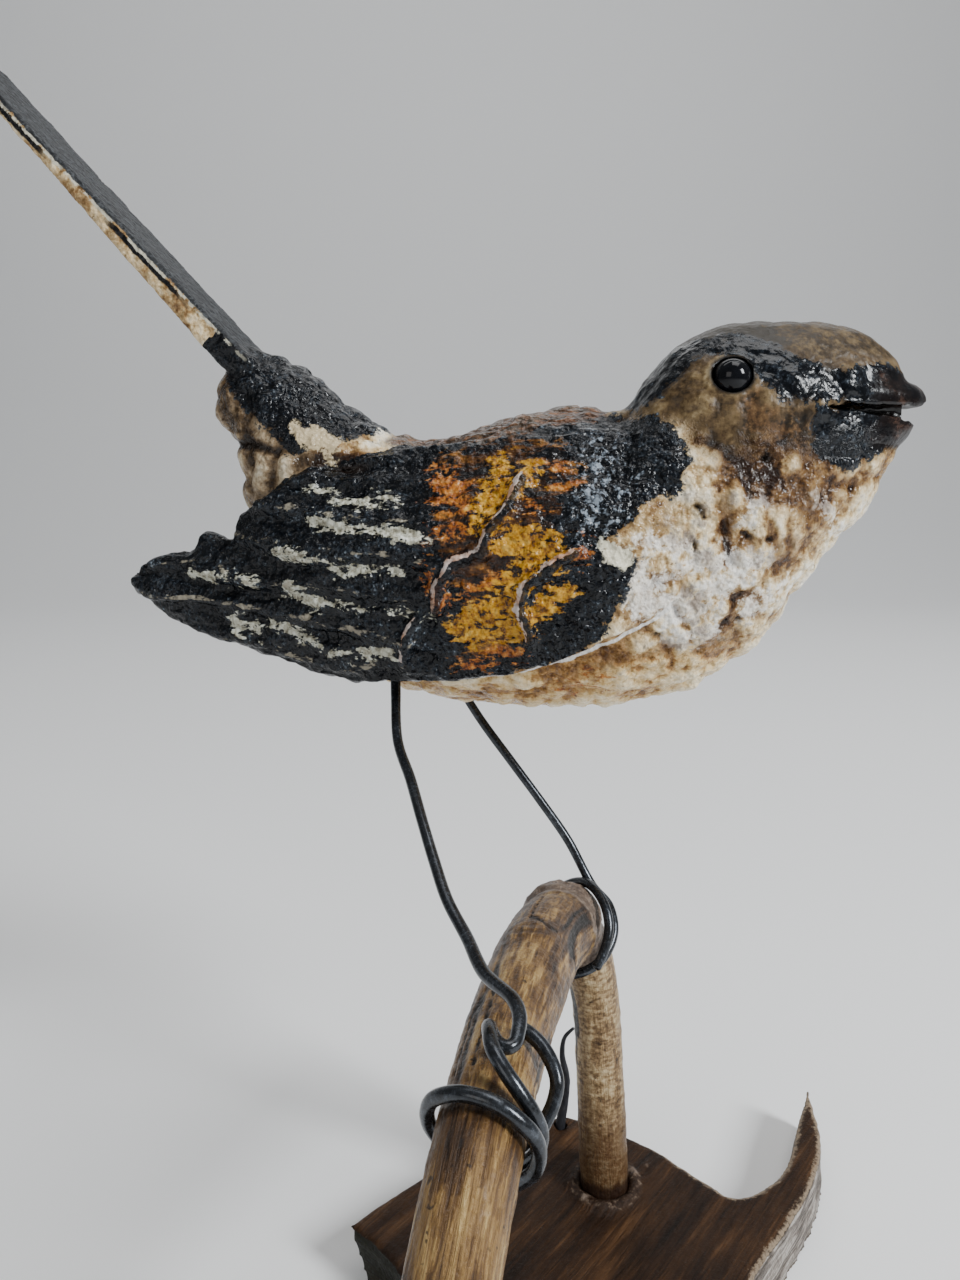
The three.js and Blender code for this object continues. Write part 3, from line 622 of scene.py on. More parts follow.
def body_half(x, z):
    middle = (top_at(x) + bottom_at(x)) / 2
    reach = (top_at(x) - bottom_at(x)) / 2
    height = np.clip((z - middle) / reach, -1, 1)
    neck = (z - NECK_Z - NECK_SLOPE * (x - NECK_X)) / NECK_SPREAD
    pinch = NECK_PINCH * np.exp(-neck * neck) * ease(x, 2, 18)
    return half_width_at(x) * (1 - pinch) * np.sqrt(1 - height * height)


def body():
    stations = BIRD_REAR + (BIRD_FRONT - BIRD_REAR) * np.linspace(0, 1, 240)[1:-1]
    turn = np.linspace(0, 2 * math.pi, 180, endpoint=False)
    x = np.repeat(stations[:, None], len(turn), 1)
    middle = (top_at(x) + bottom_at(x)) / 2
    reach = (top_at(x) - bottom_at(x)) / 2
    z = middle + reach * np.cos(turn) * (1 - 1e-9)
    y = np.sign(np.sin(turn)) * body_half(x, z)
    ends = [[s, 0, float(top_at(s) + bottom_at(s)) / 2] for s in (BIRD_REAR, BIRD_FRONT)]
    made = ring_mesh("body", np.stack([x, y, z], 2), *ends)
    face_outward(made)
    return made


def wing_face(x, z):
    low, high = wing_lower(x), wing_upper(x)
    across = np.clip((z - low) / (high - low), 0, 1)
    near_back = ease(across, 0.6, 1) * ease(x, -46, -34)
    near_front = ease(x, 8, WING_FRONT)
    raised = WING_RAISE * (1 - 0.85 * np.maximum(near_back, near_front))
    on_body = body_half(x, z) + raised
    blade = blade_out(x) * (1 - 0.45 * near_back) - 1.2 * (2 * across - 1) ** 2
    soft = 3
    return blade + soft * np.log1p(np.exp((on_body - blade) / soft)) - soft * 0.12


def feather_step(x, z, wobble):
    """How high a feather stands over its own width, from 0 at its edges to 1 at its crest."""
    count = (z + FEATHER_SLOPE * (x + 30) - FEATHER_LOWEST + wobble) / FEATHER_PITCH
    step = count - np.floor(count)
    return np.where(step < 0.3, step / 0.3, (1 - step) / 0.7)


def feather_share(x, z):
    fade = 1 - ease(x, FEATHER_FRONT - 6, FEATHER_FRONT)
    return fade * (1 - ease(z, 134, 139))


def wing(side):
    across, along = np.meshgrid(np.linspace(0, 1, 70), np.linspace(0, 1, 190))
    x = WING_TIP + (WING_FRONT - WING_TIP) * along
    z = wing_lower(x) + (wing_upper(x) - wing_lower(x)) * across
    face = wing_face(x, z)
    tip_fade = ease(x, WING_TIP - 6, WING_TIP + 18)
    edge = 1 - 0.5 * (2 * across - 1) ** 4
    relief = FEATHER_DEPTH * (feather_step(x, z, 0) - 0.5) * feather_share(x, z)
    outer = np.stack([x, side * (face + relief * edge), z], 2)
    inner = np.stack([x, side * (face - BLADE_THICKNESS * (0.5 + 0.5 * tip_fade)), z], 2)
    return plate_mesh("wing", outer, inner)


def tail_place(along, up):
    return (TAIL_ROOT[0] - along * math.cos(TAIL_SLOPE) + up * math.sin(TAIL_SLOPE),
            TAIL_ROOT[1] + along * math.sin(TAIL_SLOPE) + up * math.cos(TAIL_SLOPE))


def tail_coordinates(x, z):
    dx, dz = x - TAIL_ROOT[0], z - TAIL_ROOT[1]
    return (-dx * math.cos(TAIL_SLOPE) + dz * math.sin(TAIL_SLOPE),
            dx * math.sin(TAIL_SLOPE) + dz * math.cos(TAIL_SLOPE))


def tail():
    across, along = np.meshgrid(np.linspace(-1, 1, 36), TAIL_LENGTH * np.linspace(0, 1, 180))
    thick, wide = keyed(TAIL_THICKNESS)(along), keyed(TAIL_HALF_WIDTH)(along)
    faces = []
    for up in (thick / 2 * (1 - TAIL_CROWN * across**2), -thick / 2):
        x, z = tail_place(along, up)
        faces.append(np.stack([x, across * wide, z], 2))
    return plate_mesh("tail", *faces)


def bill_half(lower, upper, tip, direction):
    across, along = np.meshgrid(np.linspace(-1, 1, 40), np.linspace(0, 1, 90))
    x = BILL_BACK + (tip - BILL_BACK) * along
    left = np.clip((x - tip + BILL_BLUNT) / BILL_BLUNT, 0, 1)
    closing = np.sqrt(1 - 0.995 * left**2)
    y = across * keyed(BILL_HALF_WIDTH)(x + BILL_TIP - tip) * closing
    around = 1 - BILL_ROUND * across**2
    far = upper(x) - MOUTH_Z if direction > 0 else MOUTH_Z - lower(x)
    middle = 0.55 * far if direction > 0 else 0.35 * far
    outer = middle + (far * around - middle) * closing
    inner = middle + (-0.05 - middle) * closing
    return plate_mesh("bill", np.stack([x, y, MOUTH_Z + direction * outer], 2),
                      np.stack([x, y, MOUTH_Z + direction * inner], 2))


def mouth(from_x, to_x, from_y, to_y):
    """One part of the mouth's gap, between two stations and two distances from the middle."""
    across, along = np.meshgrid(np.linspace(0, 1, 24), np.linspace(0, 1, 60))
    x = from_x + (to_x - from_x) * along
    y = from_y(x) + (to_y(x) - from_y(x)) * across
    flat = np.stack([x.ravel(), np.abs(y.ravel()), 0 * x.ravel()], 1)
    wave = noise(flat, 2.2, 3).reshape(x.shape) * 0.2 + noise(flat, 0.9, 5).reshape(x.shape) * 0.12
    teeth = noise(flat, 1.1, 9).reshape(x.shape) * 0.2
    roof = MOUTH_Z + MOUTH_ROOF + 0.1 + wave
    floor = MOUTH_Z + MOUTH_ROOF - keyed(MOUTH_GAPE)(x) - 0.15 + wave * 0.5 + teeth
    floor = np.minimum(floor, roof - 0.5)
    return plate_mesh("mouth", np.stack([x, y, roof], 2), np.stack([x, y, floor], 2))


def mouth_parts():
    width = keyed(BILL_HALF_WIDTH)
    parts = [mouth(TONGUE_END, MOUTH_GAPE[-1][0], lambda x: 0 * x - MOUTH_ACROSS / 2,
                   lambda x: 0 * x + MOUTH_ACROSS / 2)]
    for side in (-1, 1):
        parts.append(mouth(MOUTH_CORNER, TONGUE_END + 0.2, lambda x: side * TONGUE_SHARE * width(x),
                           lambda x: 0 * x + side * MOUTH_ACROSS / 2))
    return parts


def to_bird(points):
    """From the frame of the solids to the bird's own frame."""
    return turned(points - BIRD_PLACE, BIRD_YAW)


def from_bird(points):
    return turned(points, -BIRD_YAW) + BIRD_PLACE


BIRD_VOXEL = 0.55
LEG_BORE = 1.3


def bird_form():
    pieces = [body(), wing(1), wing(-1), tail()]
    level = keyed([[0, MOUTH_Z], [1, MOUTH_Z]])
    pieces.append(bill_half(level, keyed(UPPER_BILL_TOP), BILL_TIP, 1))
    pieces.append(bill_half(keyed(LOWER_BILL_BOTTOM), level, LOWER_BILL_TIP, -1))
    for centre, radii in RUMP_LUMPS:
        pieces.append(ball("lump", centre, radii, 40, 60))
    form = joined("bird_carving", pieces)
    remeshed(form, BIRD_VOXEL)
    largest_part(form)
    tools = mouth_parts()
    for side in (-1, 1):
        centre = [EYE_PLACE[0], side * EYE_PLACE[1], EYE_PLACE[2]]
        tools.append(ball("socket", centre, EYE_RADIUS + EYE_FIT, 30, 48))
    for leg in (NEAR_LEG, FAR_LEG):
        route = to_bird(np.array(leg[:3], float))
        route = np.vstack([route[0] + [0, 0, 0.3], route])
        tools.append(tube("bore", smooth_line(route, 12), LEG_BORE, 20))
    return cut(form, tools)


def carve_bird(form):
    """Gesso lumps, grooves, pits and feather edges, and the fields that the paint follows."""
    p = read_points(form)
    n = read_normals(form)
    x, y, z = p.T
    side = np.abs(y)
    flat = np.stack([x, z], 1)
    along, up = tail_coordinates(x, z)

    low, high = wing_lower(x), wing_upper(x)
    in_wing = ease(x, WING_TIP - 1, WING_TIP + 1) * (1 - ease(x, WING_FRONT - 2, WING_FRONT + 0.5))
    in_wing *= ease(z, low - 0.6, low + 0.4) * (1 - ease(z, high - 0.4, high + 0.8))
    in_wing *= ease(side, wing_face(x, z) - 2.2, wing_face(x, z) - 1.2)
    on_tail = ease(along, 14, 20) * ease(up, -7, -4) * (1 - ease(side, 9.5, 11))
    on_bill = ease(x, 41.5, 46) * ease(z, 140.2, 141.6) * (1 - ease(z, 151.2, 152.6))
    head = ease(depth_inside(flat, HEAD), -1, 2)
    crown = head * ease(z, 151, 156)
    body_share = (1 - in_wing) * (1 - on_tail) * (1 - on_bill) * (1 - 0.55 * crown)

    rounded = 2 * np.abs(noise(p, 4.2, 5)) - 0.62 + 0.55 * (2 * np.abs(noise(p, 2.1, 7)) - 0.62)
    gesso = 0.34 * lumps(p, 6.5, 2, 1) + 0.42 * rounded + 0.12 * noise(p, 1.1, 9)
    height = body_share * gesso * (1.05 - 0.35 * head)
    crust_and_highlight, glaze = stroke_depth(flat, CRUST_AND_HIGHLIGHT), stroke_depth(flat, GLAZE)
    height += body_share * (0.3 * ease(crust_and_highlight, -0.8, 0.8) - 0.22 * ease(glaze, -0.8, 0.9))
    pinned = stroke_depth(flat + 0.3 * np.stack([noise(p, 1.6, 15), noise(p, 1.6, 16)], 1), DARK_PITS)
    height -= 0.6 * ease(pinned, -0.4, 0.2) * (side > 4)

    wobble = 1.1 * noise(p * [0.35, 1, 1], 4.0, 31)
    step = feather_step(x, z, wobble)
    share = feather_share(x, z) * in_wing
    smooth_step = feather_step(x, z, 0)
    height += share * (1.15 * (step - 0.5) - 0.6 * (smooth_step - 0.5))
    wander = 0.5 * np.stack([noise(p * [0.4, 1, 1], 3, 27), noise(p * [0.4, 1, 1], 2.2, 28)], 1)
    worn = stroke_depth(flat + wander, WORN)
    height += in_wing * 0.35 * ease(worn, -0.9, 0.4)
    pebbled = 2 * np.abs(noise(p * [0.55, 1, 1], 1.7, 35)) - 0.6
    height += in_wing * (0.18 * noise(p * [0.3, 1, 1], 1.1, 33) + 0.26 * pebbled + 0.1 * noise(p, 0.95, 36))
    height += in_wing * 0.24 * lumps(p * [0.6, 1, 1], 3.2, 2, 37)

    ridge = np.zeros(len(p))
    for line in COVERT_RIDGES:
        gap = line_distance(flat + 0.35 * np.stack([noise(p, 3, 41), noise(p, 3, 43)], 1), line)
        ridge = np.maximum(ridge, bell(gap, 0.95))
    height += in_wing * 1.45 * ridge
    groove = np.zeros(len(p))
    for line, width, depth in GROOVES:
        wander = 0.5 * np.stack([noise(p, 2.4, 45), noise(p, 2.4, 47)], 1)
        gap = line_distance(flat + wander, line)
        groove = np.maximum(groove, depth * bell(gap, width))
    outside = ease(side, 3, 6)
    height -= body_share * groove * outside

    facing = (np.abs(n[:, 1]) > 0.2) & (x > 8) & (x < 44) & (in_wing < 0.2) & (head < 0.5)
    spots = np.flatnonzero(facing)
    pits = np.zeros(len(p))
    for k in rng.choice(spots, PIT_COUNT, replace=False):
        radius = rng.uniform(0.3, 0.6)
        gap = distance(p, p[k])
        pits = np.maximum(pits, bell(gap, radius) * min(1, radius * 1.3))
    height -= 0.55 * pits

    eye_gap = distance(np.stack([x, side, z], 1), EYE_PLACE)
    height += 0.12 * bell(eye_gap - EYE_RING, 0.45) - 0.18 * bell(eye_gap - 4.6, 0.5)
    near_eye = 1 - ease(eye_gap, 3.0, 3.4)
    height *= 1 - near_eye

    pit_centre = np.array([-32, 138.8])
    hollow = np.exp(-(((flat - pit_centre) / [5.0, 1.3]) ** 2).sum(1)) * (side > 4)
    height -= 1.9 * hollow

    crease = bell(line_distance(flat, [[-53, 153.4], [-50, 150], [-46.5, 146.4], [-42, 143.4]]), 0.9)
    height -= 0.8 * crease * (1 - on_tail) * (side < 9)
    seam = bell(line_distance(flat, [[-54, 141.6], [-48, 142], [-43.4, 140.4]]), 0.8)
    height -= 0.5 * seam

    height += on_tail * (0.09 * noise(p, 1.6, 51) + 0.07 * noise(p, 0.9, 53))
    edge_bites = ease(noise(p, 5, 55), 0.35, 0.8) * ease(side, 5.4, 6.8)
    height -= on_tail * 0.3 * edge_bites
    height += on_bill * 0.07 * noise(p * [0.4, 1, 1], 1.3, 57)

    p = p + n * height[:, None]
    write_points(form, in_box_bird(p))

    # What the paint follows
    black = np.maximum(depth_inside(flat, STRIPE) + 0.7, depth_inside(flat, CHIN) + 0.2)
    black = black - np.where(z > 156.2, 0.4, 0)
    coat = np.minimum(depth_inside(flat, SHOULDER), (side - 4.5) * 0.8)
    coat = np.where((z < low - 0.2) & (x < 14), -3, coat)
    coat = np.where((z > high + 0.6) & (x < -20), -2.5, coat)
    inner_wing = ((side < wing_face(x, z) - 1.6) & (x < -20)
                  & (np.abs(z - (low + high) / 2) < (high - low) / 2))
    coat = np.where(inner_wing, 1.0, coat)
    black = np.maximum(black, np.clip(coat, -4, 5))
    tail_top = keyed(TAIL_THICKNESS)(along) / 2 * (1 - TAIL_CROWN * np.clip(side / 8, 0, 1) ** 2)
    dorsal = (up - tail_top + 0.75) * 2.2
    root_side = np.minimum((19 - along) * 0.5, 2 + up * 0.6)
    tail_black = np.where(along > 0, np.maximum(dorsal, root_side), -4)
    tail_black = np.where((up > -3.6) & (up < 9) & (along > 0) & (side < 9), tail_black, -4)
    black = np.maximum(black, np.clip(tail_black, -4, 4))
    root = np.minimum((z - 140.4 - 0.25 * (x + 40)) * 0.8, (-21 - x) * 0.35)
    root = np.minimum(root, np.maximum((x + 38) * 0.8, (up + 3.0) * 0.9))
    black = np.maximum(black, np.clip(np.where(along < 22, root, -4), -4, 3))
    ochre = np.minimum(depth_inside(flat, OCHRE), (side - 6) * 0.9)
    # Painted highlight along the lower edge of the wing
    lip_highlight_line = [[-11, 106.8], [-4, 107.9], [2.9, 109.9], [8.6, 112.9], [13.4, 115.6], [17.2, 118.4]]
    fields = {
        "black": np.clip(black, -5, 5),
        "ochre": np.clip(ochre, -5, 5),
        "yellow": np.clip(stroke_depth(flat, YELLOW), -4, 3) - 4 * (side < 6),
        "orange": np.clip(stroke_depth(flat, ORANGE), -4, 3) - 4 * (side < 2),
        "worn": np.clip(worn, -4, 2) - 4 * (in_wing < 0.4),
        # White crust, with painted highlights in it
        "crust_and_highlight": np.clip(np.maximum(crust_and_highlight, stroke_depth(flat, BROW_FROST)), -4, 3) - 4 * (side < 3),
        "glaze": np.clip(glaze, -4, 3),
        "khaki": np.clip(depth_inside(flat, HEAD), -4, 4),
        # socket: painted shade, a black ring round the eye bead
        "socket": 1 - ease(eye_gap, 3.15, 3.75),
        "high": ease(z, 153.5, 157.5),
        "crown": np.clip(depth_inside(flat, CROWN_TAN), -4, 4),
        "bill": ease(x, 43.5, 47.5) * ease(z, 140, 141.5) * (1 - ease(z, 151.4, 152.6)),
        "relief": height,
        "hollows": np.clip(groove * 1.0 + 0.7 * pits + 1.6 * hollow + 0.8 * crease + seam, 0, 1.6),
        "pinned": ease(pinned, -0.4, 0.2) * (side > 4),
        "crest": ease(step, 0.45, 0.95) * share,
        "ridge": ridge * in_wing,
        # Painted highlight on the upper left side of the covert ridges
        "ridge_highlight": ridge * in_wing * ease(line_side(flat), -0.2, 0.5),
        "lip": bell(line_distance(flat, lip_highlight_line), 0.5) * (side > 8),
        "tail": on_tail,
        "back": ease(z, 139.5, 142.5) * ease(x, -30, -24) * (1 - ease(x, 4, 10)) * (1 - on_tail),
        "shoulder": np.clip(depth_inside(flat, SHOULDER_CREAM) + 0.3, -3, 3),
        "frost": np.clip(stroke_depth(flat, FROST), -4, 3),
        "breast": ease(x, 8, 20) * (1 - head) * (1 - ease(z, 133, 142)),
        "rump": (1 - ease(x, -39, -33)) * (1 - in_wing) * (1 - on_tail),
        "gap": np.clip(up - tail_top, -6, 3),
        "line": np.maximum(ease(along, 27, 31) * (1 - ease(along, 44, 48)), ease(along, 57, 61)),
        "wash": bell(z - 137, 5) * ease(x, 14, 24),
        "low": ease(112 - z, -4, 4) * (1 - in_wing),
        "root": np.clip(stroke_depth(flat, ROOT_CREAM), -4, 2),
    }
    store(form, **fields)


def line_side(flat):
    """How far a flat point lies to the upper left of the nearest covert ridge."""
    best = np.full(len(flat), 1e9)
    side = np.zeros(len(flat))
    for line in COVERT_RIDGES:
        for a, b in zip(np.array(line[:-1]), np.array(line[1:])):
            along = np.clip((flat - a) @ (b - a) / ((b - a) @ (b - a)), 0, 1)
            away = flat - a - along[:, None] * (b - a)
            gap = np.linalg.norm(away, axis=1)
            nearer = gap < best
            best = np.where(nearer, gap, best)
            side = np.where(nearer, away @ np.array([-0.8, 0.6]), side)
    return side


def in_box_bird(points):
    return to_bird(in_box(from_bird(points)))


def make_bird():
    form = bird_form()
    carve_bird(form)
    store_vector(form, "own", read_points(form))
    write_points(form, from_bird(read_points(form)))
    return form


# The branch

BRANCH_VOXEL = 0.45
KNOT = [-10.9, 22.4, 72.6]
KNEE = [-3.6, 49, 62]


def member_coordinates(p, points, radii):
    """Distance along a member, turn round it, distance from it, and its own radius there."""
    centres, length = even_line(points, 220)
    across, other = tube_frames(centres)
    nearest = np.zeros(len(p), int)
    for start in range(0, len(p), 4000):
        block = p[start:start + 4000]
        gaps = ((block[:, None] - centres[None]) ** 2).sum(2)
        nearest[start:start + 4000] = gaps.argmin(1)
    away = p - centres[nearest]
    turn = np.arctan2((away * other[nearest]).sum(1), (away * across[nearest]).sum(1))
    radius = spread(radii, length[-1])(length[nearest])
    return length[nearest], turn, np.linalg.norm(away, axis=1), radius


def make_branch():
    pieces = []
    for points, radii, steps in ((PERCH, PERCH_RADII, 300), (REAR_LEG, REAR_LEG_RADII, 120)):
        centres = smooth_line(points, steps)
        radius = spread(radii)(np.linspace(0, 1, steps + 1))
        pieces.append(tube("member", centres, radius, 64))
    pieces.append(ball("boss", BOSS_CENTRE, BOSS_RADIUS, 40, 60))
    form = joined("branch_stick", pieces)
    remeshed(form, BRANCH_VOXEL)
    largest_part(form)
    p, n = read_points(form), read_normals(form)
    perch = member_coordinates(p, PERCH, PERCH_RADII)
    rear = member_coordinates(p, REAR_LEG, REAR_LEG_RADII)
    use_rear = (rear[2] / rear[3]) < (perch[2] / perch[3])
    along = np.where(use_rear, rear[0] + 400, perch[0])
    turn = np.where(use_rear, rear[1], perch[1])
    grain = np.stack([5 * np.cos(turn), 5 * np.sin(turn), along], 1)
    knee = bell(distance(p, KNEE), 9.5)
    knee = np.clip(knee * 1.35, 0, 1)
    stretched = grain * [1, 1, 0.12]
    cracks = np.abs(noise(stretched, 2.4, 61))
    fine = np.abs(noise(stretched * [1, 1, 0.7], 1.1, 63))
    crack = bell(cracks, 0.09) * ease(noise(grain * [1, 1, 0.3], 6, 65), -0.15, 0.3)
    front = ease(perch[0], 8, 22) * (~use_rear)
    height = -0.32 * crack * (0.35 + 0.65 * front) - 0.1 * bell(fine, 0.12) * front
    height += 0.16 * noise(stretched, 3.4, 67) * (1 - 0.5 * use_rear) + 0.07 * lumps(p, 1.6, 2, 69)
    bark = 0.2 * noise(p, 1.5, 71) + 0.14 * noise(p, 0.8, 73)
    height += knee * bark
    peeled = knee + 0.12 * noise(p, 2.6, 77) + 0.05 * noise(p, 1.0, 78)
    height += 0.28 * ease(peeled, 0.50, 0.58)
    rings = bell(noise(np.stack([0 * along, 0 * along, along], 1), 3.1, 75), 0.12)
    height += use_rear * 0.06 * rings
    knot_gap = distance(p, KNOT)
    height += 0.9 * bell(knot_gap, 3.2) - 1.1 * bell(knot_gap, 1.1)
    height += 0.15 * np.sin(knot_gap * 4) * bell(knot_gap, 3.4)
    in_ring = ease(np.abs(p[:, 1] + 20), 5, 9)
    height = np.minimum(height, 0.12 + 0.5 * in_ring)
    buried = 1 - ease(p[:, 2], 10, 12)
    height *= 1 - buried
    write_points(form, in_box(p + n * height[:, None]))
    store_vector(form, "grain", grain)
    store(form, crack=crack * (1 - knee), knee=peeled, rear=use_rear, knot=bell(knot_gap, 2.0),
          ring=bell(knot_gap - 2.9, 0.8), foot=1 - ease(p[:, 2], 11, 15), stain=1 - ease(p[:, 2], 12, 38))
    return form


# The base

BASE_VOXEL = 0.75
GRAIN_ANGLE = math.radians(52)
REAR_FOOT = [4.6, 50.7]
FRONT_FOOT = [-27.2, -39.9]
STEM_FOOT = [-2.1, 66.4]
# Glue round each foot: centre, radius of the hole, height of the bead
GLUE_BEADS = [(REAR_FOOT, 4.65, 1.5), (FRONT_FOOT, 4.75, 1.1), (STEM_FOOT, 1.25, 0.5)]
# Spilt glue: centre, width, height
GLUE_SPOTS = [([10.1, 52.4], 1.8, 0.8), ([0.6, 46.4], 1.3, 0.9), ([13, 55], 1.2, 0.7)]


def make_base():
    loop = [np.array(LEFT_TIP, float)]
    loop += outline_curve(LEFT_TIP, BACK_EDGE, 8)
    loop.append(np.array(HORN, float))
    loop += outline_curve(HORN, RIM_EDGE + FRONT_EDGE, 8)
    loop = np.array(loop)
    layers = []
    for z in (0.0, BASE_HEIGHT / 2, BASE_HEIGHT):
        below = 1 - z / BASE_HEIGHT
        outward = loop - FLARE_CENTRE
        outward /= np.linalg.norm(outward, axis=1, keepdims=True)
        right = ease(loop[:, 0], 0, 30) * ease(loop[:, 1], -60, 10)
        left = 1 - ease(loop[:, 0], -34, 0)
        flare = right * RIM_FLARE * below - left * LEFT_UNDERCUT * below
        layers.append(np.hstack([loop + outward * flare[:, None], np.full((len(loop), 1), z)]))
    count = len(loop)
    faces = [tuple(range(count - 1, -1, -1)), tuple(range(2 * count, 3 * count))]
    for layer in range(2):
        for a in range(count):
            b = (a + 1) % count
            shift = layer * count
            faces.append((shift + a, shift + b, shift + count + b, shift + count + a))
    form = make_object("base_slab", np.vstack(layers), faces)
    face_outward(form)
    remeshed(form, BASE_VOXEL)
    tools = []
    for points, radius in ((REAR_LEG[:3], REAR_LEG_RADII[0]), (PERCH[:-4:-1], PERCH_RADII[-1])):
        tools.append(tube("hole", smooth_line(points, 16) - [0, 0, FOOT_FIT], radius + FOOT_FIT, 48))
    tools.append(tube("hole", smooth_line(TENDRIL[:3], 8) - [0, 0, STEM_FIT],
                      TENDRIL_RADII[1] + STEM_FIT, 24))
    cut(form, tools)
    p, n = read_points(form), read_normals(form)
    x, y, z = p.T
    flat = p[:, :2]
    inside = depth_inside(flat, loop)
    on_top = ease(n[:, 2], 0.3, 0.8) * ease(z, 8, 9.4)
    on_side = 1 - ease(np.abs(n[:, 2]), 0.35, 0.75)
    grain = turned(p, GRAIN_ANGLE)
    height = on_top * (0.1 * noise(grain * [0.12, 1, 1], 1.6, 81) + 0.12 * noise(grain * [0.3, 1, 1], 6, 83))
    height += on_top * 0.07 * noise(p, 1.5, 85)
    layer = noise(np.stack([0.08 * x, 0.08 * y, z], 1), 1.5, 87)
    rough = 0.16 * noise(p, 3.5, 89) + 0.24 * layer
    height += on_side * (rough - 0.35)
    height -= 0.4 * ease(1.4 - inside, 0, 1.4) * ease(z, 8.6, 10)
    for centre, radius, amount in GLUE_BEADS:
        gap = distance(flat, centre) - radius
        bead = bell(np.clip(gap - 0.9, -2, 9), 1.3) * (gap > -0.2)
        height += on_top * amount * bead * (0.75 + 0.6 * noise(p, 2.1, 91))
    glue = np.max([high * bell(distance(flat, centre), width) for centre, width, high in GLUE_SPOTS], axis=0)
    height += on_top * glue * (0.7 + 0.5 * noise(p, 1.2, 93))
    moved = p + n * height[:, None]
    moved[:, 2] = np.where(z < 0.4, p[:, 2], np.maximum(moved[:, 2], 0.05))
    write_points(form, in_box(moved))
    foot = np.maximum(bell(distance(flat, REAR_FOOT) - 5.6, 1.7),
                      0.7 * bell(distance(flat, FRONT_FOOT) - 5.6, 1.4))
    # right marks the lit right-hand wall, against which the other side walls get painted shade
    store(form, side=on_side, edge=1 - ease(inside, 0.3, 2.6), right=ease(x, 4, 22) * ease(y, -52, -12),
          foot=foot * on_top, glue=glue * on_top)
    store_vector(form, "grain", grain)
    return form



# Wires, eyes and stem

def near_wire_route():
    centres, length = even_line(PERCH, 1600)
    ring_at = length[np.flatnonzero(centres[:, 1] > NEAR_RING_Y)[-1]]
    slopes = np.gradient(centres, length, axis=0)
    turns = []
    for degrees, along, lift in NEAR_RING:
        k = int(np.searchsorted(length, ring_at + along))
        tangent = slopes[k] / np.linalg.norm(slopes[k])
        up = np.array([0, 0, 1.0]) - tangent * tangent[2]
        up /= np.linalg.norm(up)
        right = np.cross(up, tangent)
        angle = math.radians(degrees)
        radius = NEAR_RING_RADIUS + lift
        turns.append(centres[k] + radius * (up * math.cos(angle) + right * math.sin(angle)))
    return np.array(NEAR_LEG + [t.tolist() for t in turns])


def far_wire_route():
    axis = np.array(FAR_RING_AXIS) / np.linalg.norm(FAR_RING_AXIS)
    right = np.cross(axis, [0, 0, 1.0])
    right /= np.linalg.norm(right)
    up = np.cross(right, axis)
    turns = []
    for degrees, radius, behind in FAR_RING:
        angle = math.radians(degrees)
        outward = right * math.sin(angle) + up * math.cos(angle)
        turns.append(FAR_RING_CENTRE + radius * outward + axis * behind)
    return np.array(FAR_LEG + [t.tolist() for t in turns])


def make_wire(name, route):
    centres, length = even_line(route, int(14 * len(route)))
    swell = 1 + 0.03 * noise(np.stack([length, 0 * length, 0 * length], 1), 4, 95)
    return tube(name, centres, WIRE_RADIUS * swell, 18, rounded=0.3)


def make_eye(name, side):
    centre = from_bird(np.array([EYE_PLACE[0], side * EYE_PLACE[1], EYE_PLACE[2]]))
    return ball(name, centre, EYE_RADIUS, 32, 48)


def make_stem():
    steps = 90
    centres = smooth_line(TENDRIL, steps)
    radius = spread(TENDRIL_RADII)(np.linspace(0, 1, steps + 1))
    radius = radius * (1 + 0.06 * noise(centres, 1.2, 97))
    return tube("dry_stem", centres, radius, 14, rounded=0.2)


# Finishes

